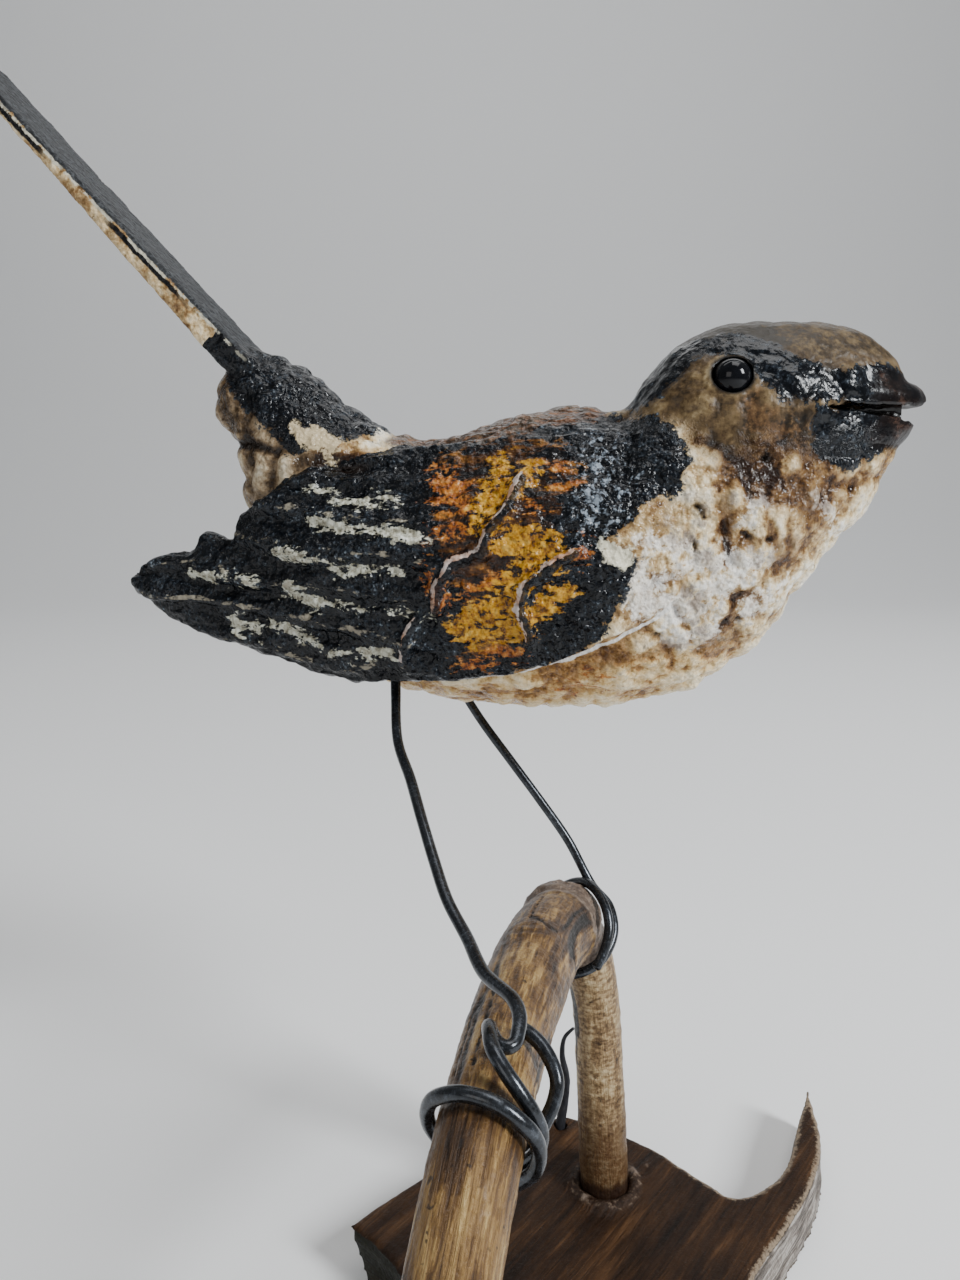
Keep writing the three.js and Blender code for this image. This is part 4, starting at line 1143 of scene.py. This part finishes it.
class Finish:
    """Builds one material from nodes."""

    def __init__(self, name):
        self.material = bpy.data.materials.new(name)
        self.material.use_nodes = True
        self.tree = self.material.node_tree
        self.tree.nodes.clear()
        self.shader = self.tree.nodes.new("ShaderNodeBsdfPrincipled")
        output = self.tree.nodes.new("ShaderNodeOutputMaterial")
        self.tree.links.new(self.shader.outputs[0], output.inputs[0])
        self.sources = {}

    def put(self, socket, value):
        """Sets a socket from another socket, a colour, a number or the name of a field."""
        if isinstance(value, str):
            value = self.attribute(value)
        if isinstance(value, bpy.types.NodeSocket):
            self.tree.links.new(value, socket)
        elif isinstance(value, (tuple, list)) and len(value) == 3 and socket.type == "RGBA":
            socket.default_value = (*value, 1)
        else:
            socket.default_value = value

    def attribute(self, name, vector=False):
        key = (name, vector)
        if key not in self.sources:
            node = self.tree.nodes.new("ShaderNodeAttribute")
            node.attribute_name = name
            self.sources[key] = node.outputs["Vector" if vector else "Fac"]
        return self.sources[key]

    def own(self, source=None, stretch=(1, 1, 1)):
        """Coordinates in millimetres, from an attribute or the object's own."""
        if source is None:
            if "object" not in self.sources:
                self.sources["object"] = self.tree.nodes.new("ShaderNodeTexCoord").outputs["Object"]
            start, scale = self.sources["object"], 1 / MM
        else:
            start, scale = self.attribute(source, True), 1
        node = self.tree.nodes.new("ShaderNodeMapping")
        self.put(node.inputs["Vector"], start)
        node.inputs["Scale"].default_value = tuple(scale * s for s in stretch)
        return node.outputs[0]

    def noise(self, where, size, detail=3.0, roughness=0.55, distortion=0.0):
        node = self.tree.nodes.new("ShaderNodeTexNoise")
        self.put(node.inputs["Vector"], where)
        node.inputs["Scale"].default_value = 1 / size
        node.inputs["Detail"].default_value = detail
        node.inputs["Roughness"].default_value = roughness
        node.inputs["Distortion"].default_value = distortion
        return node.outputs["Fac"]

    def sum(self, *terms):
        """Adds (value, factor) pairs, lone values and plain numbers."""
        total = None
        constant = sum(t for t in terms if isinstance(t, (int, float)))
        for term in (t for t in terms if not isinstance(t, (int, float))):
            value, factor = term if isinstance(term, tuple) else (term, 1.0)
            node = self.tree.nodes.new("ShaderNodeMath")
            node.operation = "MULTIPLY_ADD"
            self.put(node.inputs[0], value)
            node.inputs[1].default_value = factor
            self.put(node.inputs[2], constant if total is None else total)
            total = node.outputs[0]
        return total

    def times(self, a, b):
        node = self.tree.nodes.new("ShaderNodeMath")
        node.operation = "MULTIPLY"
        self.put(node.inputs[0], a)
        self.put(node.inputs[1], b)
        return node.outputs[0]

    def less(self, a):
        return self.sum((a, -1.0), 1.0)

    def soft(self, value, low, high, out_low=0.0, out_high=1.0):
        node = self.tree.nodes.new("ShaderNodeMapRange")
        node.interpolation_type = "SMOOTHSTEP"
        self.put(node.inputs["Value"], value)
        for key, number in (("From Min", low), ("From Max", high), ("To Min", out_low), ("To Max", out_high)):
            node.inputs[key].default_value = number
        return node.outputs["Result"]

    def ramp(self, value, *stops):
        """A colour that follows a value through (value, red, green, blue) stops."""
        node = self.tree.nodes.new("ShaderNodeValToRGB")
        self.put(node.inputs["Fac"], value)
        elements = node.color_ramp.elements
        while len(elements) < len(stops):
            elements.new(0.5)
        for element, (at, *colour) in zip(elements, stops):
            element.position = at
            element.color = (*colour, 1)
        return node.outputs["Color"]

    def lay(self, mask, paint, share=None):
        """Lays a paint over the colour so far, where the mask is 1."""
        self.colour = self.mix(mask if share is None else self.times(mask, share), self.colour, paint)

    def mix(self, factor, a, b):
        node = self.tree.nodes.new("ShaderNodeMix")
        node.data_type = "RGBA"
        self.put(node.inputs["Factor"], factor)
        self.put(node.inputs[6], a)
        self.put(node.inputs[7], b)
        return node.outputs[2]

    def bump(self, height, distance, strength=1.0, under=None):
        node = self.tree.nodes.new("ShaderNodeBump")
        node.inputs["Distance"].default_value = distance * MM
        node.inputs["Strength"].default_value = strength
        self.put(node.inputs["Height"], height)
        if under is not None:
            self.put(node.inputs["Normal"], under)
        return node.outputs[0]

    def finish(self, roughness, normal=None, colour=None, metallic=0.0, coat=0.0, coat_roughness=0.1,
               specular=0.5):
        self.put(self.shader.inputs["Base Color"], self.colour if colour is None else colour)
        self.put(self.shader.inputs["Roughness"], roughness)
        self.put(self.shader.inputs["Metallic"], metallic)
        self.shader.inputs["Coat Weight"].default_value = coat
        self.shader.inputs["Coat Roughness"].default_value = coat_roughness
        self.shader.inputs["Specular IOR Level"].default_value = specular
        if normal is not None:
            self.put(self.shader.inputs["Normal"], normal)
        return self.material


def bird_finish():
    f = Finish("bird_paint")
    where = f.own("own")
    streaked = f.own("own", (0.42, 1, 1))
    n8, n3, n1 = (f.noise(where, 8, 2), f.noise(where, 3, 4, 0.6), f.noise(where, 1.1, 4, 0.65))
    n05 = f.noise(where, 0.5, 3, 0.6)
    s3, s1 = (f.noise(streaked, 2.2, 4, 0.65), f.noise(streaked, 0.8, 3, 0.6))
    khaki = f.soft(f.sum("khaki", (n3, 7.0), (n1, 4.0), -5.7), -2.8, 2.0)
    gap = f.sum("gap", (n1, 0.7), (n3, 0.5), -0.6)
    dorsal = f.times("tail", f.soft(gap, -0.6, -0.4))

    def ragged(field, reach, low=-0.25, high=0.3):
        """1 inside a field's outline, with the outline broken up by about that many millimetres."""
        value = f.sum(field, (n3, 4 * reach), (n1, 3 * reach), (n05, 1.5 * reach), -4.25 * reach)
        return f.soft(value, low, high)

    def streaky(field, reach, low=-0.25, high=0.3):
        value = f.sum(field, (s3, 4 * reach), (s1, 3 * reach), (n05, 1.5 * reach), -4.25 * reach)
        return f.soft(value, low, high)

    # Cream gesso under a brown glaze that lies in the low places
    tone = f.sum((n8, 0.45), (n3, 0.85), (n1, 0.75), ("relief", 0.5), ("hollows", -0.4), ("breast", 0.04),
            (n05, 0.25), ("wash", -0.17), -0.66)
    cream = f.ramp(tone, (0.0, 0.02, 0.009, 0.005), (0.2, 0.1, 0.048, 0.018), (0.34, 0.25, 0.145, 0.058),
            (0.47, 0.46, 0.315, 0.15), (0.62, 0.76, 0.6, 0.36), (0.88, 0.93, 0.87, 0.72))
    golden = f.ramp(tone, (0.1, 0.12, 0.05, 0.015), (0.34, 0.42, 0.22, 0.065), (0.5, 0.72, 0.5, 0.22),
            (0.8, 0.9, 0.76, 0.5))
    cream = f.mix(f.times("low", 0.8), cream, golden)
    olive = f.ramp(tone, (0.05, 0.006, 0.004, 0.002), (0.3, 0.028, 0.017, 0.007),
            (0.48, 0.085, 0.052, 0.022), (0.66, 0.17, 0.115, 0.052), (0.9, 0.36, 0.28, 0.16))
    crown_dark = f.times(f.soft(f.sum("high", (n3, 0.9), (n1, 0.5)), 0.8, 1.4), khaki)
    olive = f.mix(f.times(crown_dark, 0.95), olive, f.mix(n1, (0.004, 0.003, 0.002), (0.045, 0.036, 0.024)))
    f.colour = f.mix(khaki, cream, olive)
    dull = f.ramp(tone, (0.05, 0.016, 0.01, 0.006), (0.3, 0.08, 0.05, 0.026), (0.5, 0.25, 0.175, 0.1),
            (0.72, 0.52, 0.42, 0.28), (0.95, 0.78, 0.7, 0.54))
    f.lay("rump", dull)
    # White crust with painted highlights: whitish patches that stand for crust and for glints on the lumps
    crust_and_highlight = f.times(ragged("crust_and_highlight", 2.2, -0.6, 1.4), f.less(khaki))
    f.lay(crust_and_highlight, f.ramp(n1, (0.32, 0.52, 0.44, 0.36), (0.5, 0.84, 0.82, 0.78), (0.7, 0.92, 0.93, 0.93)),
            0.7)
    glaze = ragged("glaze", 2.4, -0.9, 1.6)
    f.lay(glaze, f.ramp(n1, (0.3, 0.035, 0.015, 0.007), (0.55, 0.13, 0.065, 0.025),
            (0.75, 0.3, 0.18, 0.08)), 0.7)
    dots = f.soft(n05, 0.29, 0.35, 1.0, 0.0)
    f.lay(dots, (0.045, 0.02, 0.01), 0.7)

    # The brown back and the tan crown
    back = f.soft(f.sum("back", (n3, 0.8), (n1, 0.4)), 0.85, 1.25)
    f.lay(back, f.ramp(s1, (0.3, 0.006, 0.004, 0.003), (0.45, 0.035, 0.018, 0.011),
            (0.58, 0.11, 0.05, 0.026), (0.72, 0.26, 0.12, 0.06)), 0.95)
    tan = f.times(ragged("crown", 1.1), khaki)
    f.lay(tan, f.ramp(f.sum((n1, 0.6), (n3, 0.5), -0.05), (0.36, 0.008, 0.005, 0.002),
            (0.5, 0.05, 0.031, 0.013), (0.66, 0.17, 0.115, 0.052)), 0.9)

    # Blue-black paint
    black_tone = f.sum((n1, 0.6), (n05, 0.55), (n3, 0.3), ("relief", 0.06), -0.02)
    black = f.ramp(black_tone, (0.55, 0.0012, 0.0015, 0.0022), (0.72, 0.003, 0.004, 0.006),
            (0.84, 0.02, 0.026, 0.034), (0.96, 0.2, 0.24, 0.28))
    painted = ragged("black", 1.0)
    f.lay(painted, black)

    # Rust, ochre and orange over it on the wing
    under = f.times(streaky("ochre", 2.6, -0.4, 0.8), 0.9)
    f.lay(under, f.ramp(s3, (0.36, 0.006, 0.006, 0.007), (0.46, 0.035, 0.014, 0.006),
            (0.55, 0.11, 0.045, 0.012), (0.68, 0.3, 0.14, 0.03)))
    orange = streaky("orange", 2.3, -0.3, 0.9)
    f.lay(orange, f.ramp(n1, (0.34, 0.035, 0.01, 0.005), (0.46, 0.26, 0.07, 0.012),
            (0.57, 0.48, 0.17, 0.025), (0.72, 0.62, 0.34, 0.12)), 0.9)
    yellow = streaky("yellow", 1.9, -0.75, 0.35)
    f.lay(yellow, f.ramp(n1, (0.32, 0.045, 0.018, 0.004), (0.42, 0.26, 0.1, 0.006),
            (0.54, 0.52, 0.26, 0.014), (0.72, 0.66, 0.42, 0.09)), 0.95)
    flecks = f.times(f.soft(f.sum((n1, 0.6), (s1, 0.6), (n3, 0.4)), 0.7, 0.76, 1.0, 0.0), f.soft("ochre",
            -1, 1))
    f.lay(flecks, (0.008, 0.007, 0.007), 0.9)

    # Worn crests of the feathers in cream, dark ridges, and painted highlights on the covert ridges and along
    # the wing's lower edge
    wear_colour = f.ramp(n1, (0.3, 0.1, 0.085, 0.06), (0.44, 0.38, 0.36, 0.27), (0.56, 0.68, 0.68, 0.56),
            (0.72, 0.86, 0.88, 0.82))
    f.lay(streaky("worn", 1.7, -0.05, 0.5), wear_colour, 0.92)
    rubbed = f.soft(f.sum(("crest", 0.5), (s3, 1.1), (s1, 0.8)), 1.47, 1.6)
    f.lay(rubbed, (0.36, 0.32, 0.24), 0.7)
    ridge_dark = f.soft(f.sum("ridge", (n1, 0.8)), 0.95, 1.15)
    f.lay(ridge_dark, (0.006, 0.007, 0.009), 0.9)
    # Painted highlight along the upper left side of each covert ridge
    ridge = f.soft(f.sum("ridge_highlight", (n1, 1.2), (n3, 0.6)), 1.38, 1.52)
    f.lay(ridge, f.ramp(n3, (0.4, 0.6, 0.34, 0.22), (0.6, 0.72, 0.64, 0.6)), 0.85)
    # Painted highlight: a bright line along the lower edge of the wing
    lip = f.soft(f.sum("lip", (n1, 0.8)), 0.95, 1.2)
    f.lay(lip, (0.86, 0.84, 0.8))
    f.lay(ragged("shoulder", 0.8), (0.7, 0.66, 0.5))
    frost = f.soft(f.sum(("frost", 0.06), (n05, 0.7), (n1, 1.6), (n3, 0.5)), 1.52, 1.78)
    frost = f.times(frost, f.soft("frost", -3.0, 1.0))
    f.lay(frost, (0.3, 0.35, 0.41), 0.8)
    f.lay(ragged("root", 0.9), (0.52, 0.42, 0.26))
    grit = f.soft(f.sum(n05, (n1, 0.5)), 0.7, 0.92)
    f.lay(dorsal, f.mix(grit, (0.006, 0.007, 0.009), (0.06, 0.065, 0.07)))
    line = f.times(f.soft(gap, -1.85, -1.6), f.times("tail", "line"))
    f.lay(f.times(line, f.soft(gap, -1.0, -0.8, 1.0, 0.0)), (0.004, 0.004, 0.005))
    edge = f.times(f.times(f.soft(gap, -1.1, -0.95), f.soft(gap, -0.65, -0.5, 1.0, 0.0)), "tail")
    edge = f.times(edge, f.soft(f.sum((n3, 0.7), (n1, 0.5)), 0.54, 0.62))
    f.lay(edge, (0.58, 0.55, 0.44), 0.9)
    # Painted shade: a black ring round the eye bead
    f.lay("socket", (0.003, 0.003, 0.003))
    f.lay("bill", f.ramp(s3, (0.4, 0.003, 0.0025, 0.003), (0.58, 0.01, 0.006, 0.005),
            (0.7, 0.06, 0.032, 0.022)))
    f.lay("pinned", (0.008, 0.005, 0.003))
    deep = f.soft(f.sum("hollows", (n1, 0.4)), 1.0, 1.7)
    f.lay(deep, (0.012, 0.007, 0.005), 0.9)

    gloss = f.soft(f.sum((n1, 0.6), (n05, 0.4)), 0.3, 0.7, 0.1, 0.3)
    gloss = f.sum(gloss, (dorsal, 0.45), (f.times(khaki, f.less(painted)), 0.25))
    fine = f.sum(f.noise(where, 1.25, 1.2, 0.5), (f.noise(where, 0.5, 1, 0.5), 0.22), (f.noise(streaked,
            1.6, 1), 0.5))
    calm = f.sum((f.times("bill", f.less(khaki)), -0.8), (f.times("bill", khaki), -0.17), (khaki, -0.75),
            (dorsal, -0.3), 1.0)
    normal = f.bump(f.times(fine, calm), 0.9)
    return f.finish(gloss, normal, coat=0.03, coat_roughness=0.1, specular=0.26)


def branch_finish():
    f = Finish("branch_wood")
    where = f.own()
    long_grain = f.own("grain", (1, 1, 0.1))
    mid_grain = f.own("grain", (1, 1, 0.25))
    lines = f.noise(long_grain, 0.6, 4, 0.65, 0.9)
    bands = f.noise(mid_grain, 3.2, 4, 0.6, 0.8)
    mottled = f.noise(mid_grain, 2.5, 4, 0.6)
    fine = f.noise(where, 0.6, 4, 0.65)
    tone = f.sum((lines, 0.9), (bands, 0.75), (mottled, 0.8), ("crack", -0.35), -0.72)
    f.colour = f.ramp(tone, (0.15, 0.01, 0.005, 0.003), (0.34, 0.055, 0.027, 0.011),
            (0.48, 0.12, 0.062, 0.021), (0.6, 0.25, 0.145, 0.05), (0.75, 0.42, 0.28, 0.11),
            (0.9, 0.6, 0.46, 0.24))
    wrinkles = f.noise(f.own("grain", (0.35, 0.35, 1)), 0.7, 4, 0.6)
    tan = f.ramp(f.sum((wrinkles, 0.8), (fine, 0.7), (bands, 0.8), -0.66), (0.2, 0.05, 0.028, 0.014),
            (0.4, 0.2, 0.12, 0.055), (0.54, 0.38, 0.26, 0.13), (0.72, 0.6, 0.47, 0.28))
    f.lay("rear", tan)
    bark = f.ramp(f.sum((fine, 0.7), (f.noise(where, 2.2, 4), 0.6), -0.15), (0.25, 0.04, 0.026, 0.019),
            (0.46, 0.14, 0.098, 0.072), (0.62, 0.27, 0.205, 0.16), (0.85, 0.5, 0.43, 0.36))
    kneeness = f.soft(f.sum("knee", (fine, 0.1)), 0.56, 0.64)
    f.lay(kneeness, bark)
    rim = f.soft(f.sum("knee", (fine, 0.1)), 0.5, 0.57)
    f.lay(f.times(rim, f.less(kneeness)), (0.03, 0.016, 0.009), 0.35)
    f.lay(f.soft(f.sum("crack", (fine, 0.4)), 0.5, 0.85), (0.008, 0.005, 0.003))
    f.lay(f.soft(f.sum("knot", (fine, 0.5)), 0.7, 1.1), (0.012, 0.007, 0.004), 0.9)
    f.lay(f.soft(f.sum("ring", (fine, 0.6)), 0.9, 1.3), (0.05, 0.025, 0.011), 0.7)
    spots = f.soft(f.noise(where, 1.3, 2), 0.28, 0.34, 1.0, 0.0)
    f.lay(spots, (0.018, 0.01, 0.006), 0.8)
    stained = f.soft(f.sum("stain", (mottled, 0.6)), 0.35, 1.2)
    f.lay(stained, (0.08, 0.035, 0.013), 0.75)
    foot = f.soft(f.sum("foot", (fine, 0.5)), 0.55, 1.2)
    f.lay(foot, (0.022, 0.01, 0.006), 0.9)
    gloss = f.soft(fine, 0.3, 0.7, 0.3, 0.55)
    normal = f.bump(f.sum(lines, (fine, 0.6), (mottled, 0.5)), 0.4)
    return f.finish(gloss, normal, coat=0.08, coat_roughness=0.2, specular=0.3)


def base_finish():
    f = Finish("base_wood")
    where = f.own()
    long_grain = f.own("grain", (0.05, 1, 1))
    mid_grain = f.own("grain", (0.2, 1, 1))
    lines = f.noise(long_grain, 0.7, 5, 0.7, 0.5)
    bands = f.noise(long_grain, 4.5, 3)
    mottled = f.noise(mid_grain, 4, 4, 0.6)
    fine = f.noise(where, 0.8, 4, 0.65)
    tone = f.sum((lines, 0.6), (bands, 0.3), (mottled, 0.6), -0.26)
    top = f.ramp(tone, (0.3, 0.006, 0.003, 0.0015), (0.44, 0.02, 0.009, 0.004), (0.56, 0.04, 0.018, 0.007),
            (0.7, 0.095, 0.045, 0.018), (0.85, 0.18, 0.095, 0.045))
    layers = f.noise(f.own(None, (0.1, 0.1, 1)), 1.1, 4, 0.6, 1.2)
    weathered = f.ramp(f.sum((layers, 1.3), (fine, 0.5), -0.4), (0.3, 0.03, 0.023, 0.018),
            (0.44, 0.11, 0.09, 0.075), (0.56, 0.25, 0.215, 0.185), (0.72, 0.5, 0.46, 0.42))
    # Painted shade: the left side wall is a dark shaded copy of the weathered wall, which keeps its lit
    # colour on the right
    shaded_wall = f.ramp(f.sum((layers, 0.8), (fine, 0.4), -0.1), (0.3, 0.006, 0.006, 0.004),
            (0.55, 0.018, 0.018, 0.011), (0.8, 0.06, 0.05, 0.03))
    side = f.mix("right", shaded_wall, weathered)
    f.colour = f.mix(f.soft("side", 0.3, 0.7), top, side)
    rubbed = f.soft(f.sum(("edge", 0.5), (fine, 0.9), ("right", 0.35), ("side", -0.6)), 1.05, 1.3)
    f.lay(rubbed, (0.34, 0.26, 0.18), 0.8)
    glued = f.soft(f.sum("foot", (fine, 0.5)), 0.7, 1.1)
    f.lay(glued, f.ramp(fine, (0.35, 0.015, 0.008, 0.005), (0.55, 0.05, 0.03, 0.02),
            (0.72, 0.24, 0.18, 0.13)), 0.75)
    f.lay(f.soft(f.sum("glue", (fine, 0.5)), 0.75, 1.1), (0.2, 0.15, 0.115))
    gloss = f.soft(fine, 0.3, 0.7, 0.38, 0.62)
    normal = f.bump(f.sum(lines, (fine, 0.7), f.times(layers, "side")), 0.35)
    return f.finish(gloss, normal, coat=0.0, specular=0.16)


def steel_finish():
    f = Finish("leg_wire")
    where = f.own()
    n2, n05 = (f.noise(where, 2.5, 3), f.noise(where, 0.5, 3, 0.6))
    f.colour = f.ramp(f.sum((n2, 0.6), (n05, 0.5)), (0.35, 0.016, 0.015, 0.014), (0.6, 0.045, 0.05, 0.058),
            (0.85, 0.13, 0.145, 0.17))
    gloss = f.soft(n05, 0.3, 0.7, 0.18, 0.3)
    return f.finish(gloss, f.bump(n05, 0.008), metallic=0.7, specular=0.6)


def bead_finish():
    f = Finish("eye_bead")
    n1 = f.noise(f.own(), 1.5, 2)
    f.colour = f.ramp(n1, (0.3, 0.002, 0.002, 0.003), (0.8, 0.006, 0.007, 0.009))
    return f.finish(0.1, coat=0.0, specular=0.25)


def stem_finish():
    f = Finish("tendril_stem")
    fine = f.noise(f.own(None, (1, 1, 0.3)), 0.5, 4, 0.6)
    f.colour = f.ramp(fine, (0.3, 0.006, 0.006, 0.008), (0.6, 0.02, 0.021, 0.026),
            (0.85, 0.08, 0.075, 0.07))
    return f.finish(0.6, f.bump(fine, 0.1))


# The object

make = [
    (make_bird(), "bird_paint", "bird", bird_finish()),
    (make_branch(), "branch_wood", "branch", branch_finish()),
    (make_base(), "base_wood", "base", base_finish()),
]
steel = steel_finish()
make.append((make_wire("near_wire", near_wire_route()), "leg_wire", "near_leg_wire", steel))
make.append((make_wire("far_wire", far_wire_route()), "leg_wire", "far_leg_wire", steel))
bead = bead_finish()
make.append((make_eye("near_bead", -1), "eye_bead", "near_eye", bead))
make.append((make_eye("far_bead", 1), "eye_bead", "far_eye", bead))
make.append((make_stem(), "tendril_stem", "tendril", stem_finish()))
for piece, slot, node, material in make:
    place(piece, slot, node, material)
    print(piece.name, len(piece.data.polygons), "faces")


# Stage, light and camera

def sweep():
    """A pale floor that curves up into a backdrop."""
    profile = [(-1.6, 0.0), (0.9, 0.0)]
    for turn in np.linspace(0, math.pi / 2, 24):
        profile.append((0.9 + 0.7 * math.sin(turn), 0.7 * (1 - math.cos(turn))))
    profile.append((1.6, 2.4))
    points = [(x, y, z) for y, z in profile for x in (-2.6, 2.6)]
    faces = [(2 * i, 2 * i + 1, 2 * i + 3, 2 * i + 2) for i in range(len(profile) - 1)]
    mesh = bpy.data.meshes.new("sweep")
    mesh.from_pydata(points, [], faces)
    mesh.update()
    made = bpy.data.objects.new("sweep", mesh)
    bpy.context.scene.collection.objects.link(made)
    mesh.polygons.foreach_set("use_smooth", np.ones(len(faces), bool))
    return made


floor = sweep()
f = Finish("pale_floor")
floor.data.materials.append(f.finish(0.9, colour=(0.93, 0.93, 0.93)))

world = bpy.data.worlds.new("studio")
bpy.context.scene.world = world
world.use_nodes = True
world.node_tree.nodes["Background"].inputs[0].default_value = (0.92, 0.96, 1.0, 1)
world.node_tree.nodes["Background"].inputs[1].default_value = 0.2

TARGET = Vector((-0.005, 0.045, 0.12))


def softbox(name, where, size, power, colour, target=TARGET):
    light = bpy.data.lights.new(name, "AREA")
    light.shape = "RECTANGLE"
    light.size, light.size_y = size
    light.energy = power
    light.color = colour
    lamp = bpy.data.objects.new(name, light)
    lamp.location = where
    lamp.rotation_euler = (target - lamp.location).to_track_quat("-Z", "Y").to_euler()
    bpy.context.scene.collection.objects.link(lamp)
    return lamp


softbox("window", Vector((0.6, -0.38, 0.58)), (0.22, 0.32), 9.5, (0.95, 0.98, 1.0))
softbox("fill", Vector((-0.45, -0.6, 0.4)), (0.4, 0.4), 1.0, (1.0, 0.97, 0.93))
softbox("above", Vector((0.15, 0.0, 0.85)), (0.35, 0.35), 1.7, (1.0, 1.0, 1.0))
softbox("behind", Vector((0.2, 0.75, 0.75)), (0.8, 0.4), 1.2, (1.0, 1.0, 1.0))
softbox("backdrop", Vector((0.0, 0.5, 1.5)), (1.6, 0.3), 6.0, (1.0, 1.0, 1.0), Vector((0.0, 1.6, 0.35)))

camera_data = bpy.data.cameras.new("camera")
camera_data.lens = 27
camera_data.sensor_width = 36
camera_data.clip_start = 0.01
camera = bpy.data.objects.new("camera", camera_data)
camera.location = (-0.018, -0.104, 0.1377)
camera.rotation_euler = (math.radians(80), 0, 0)
bpy.context.scene.collection.objects.link(camera)
bpy.context.scene.camera = camera
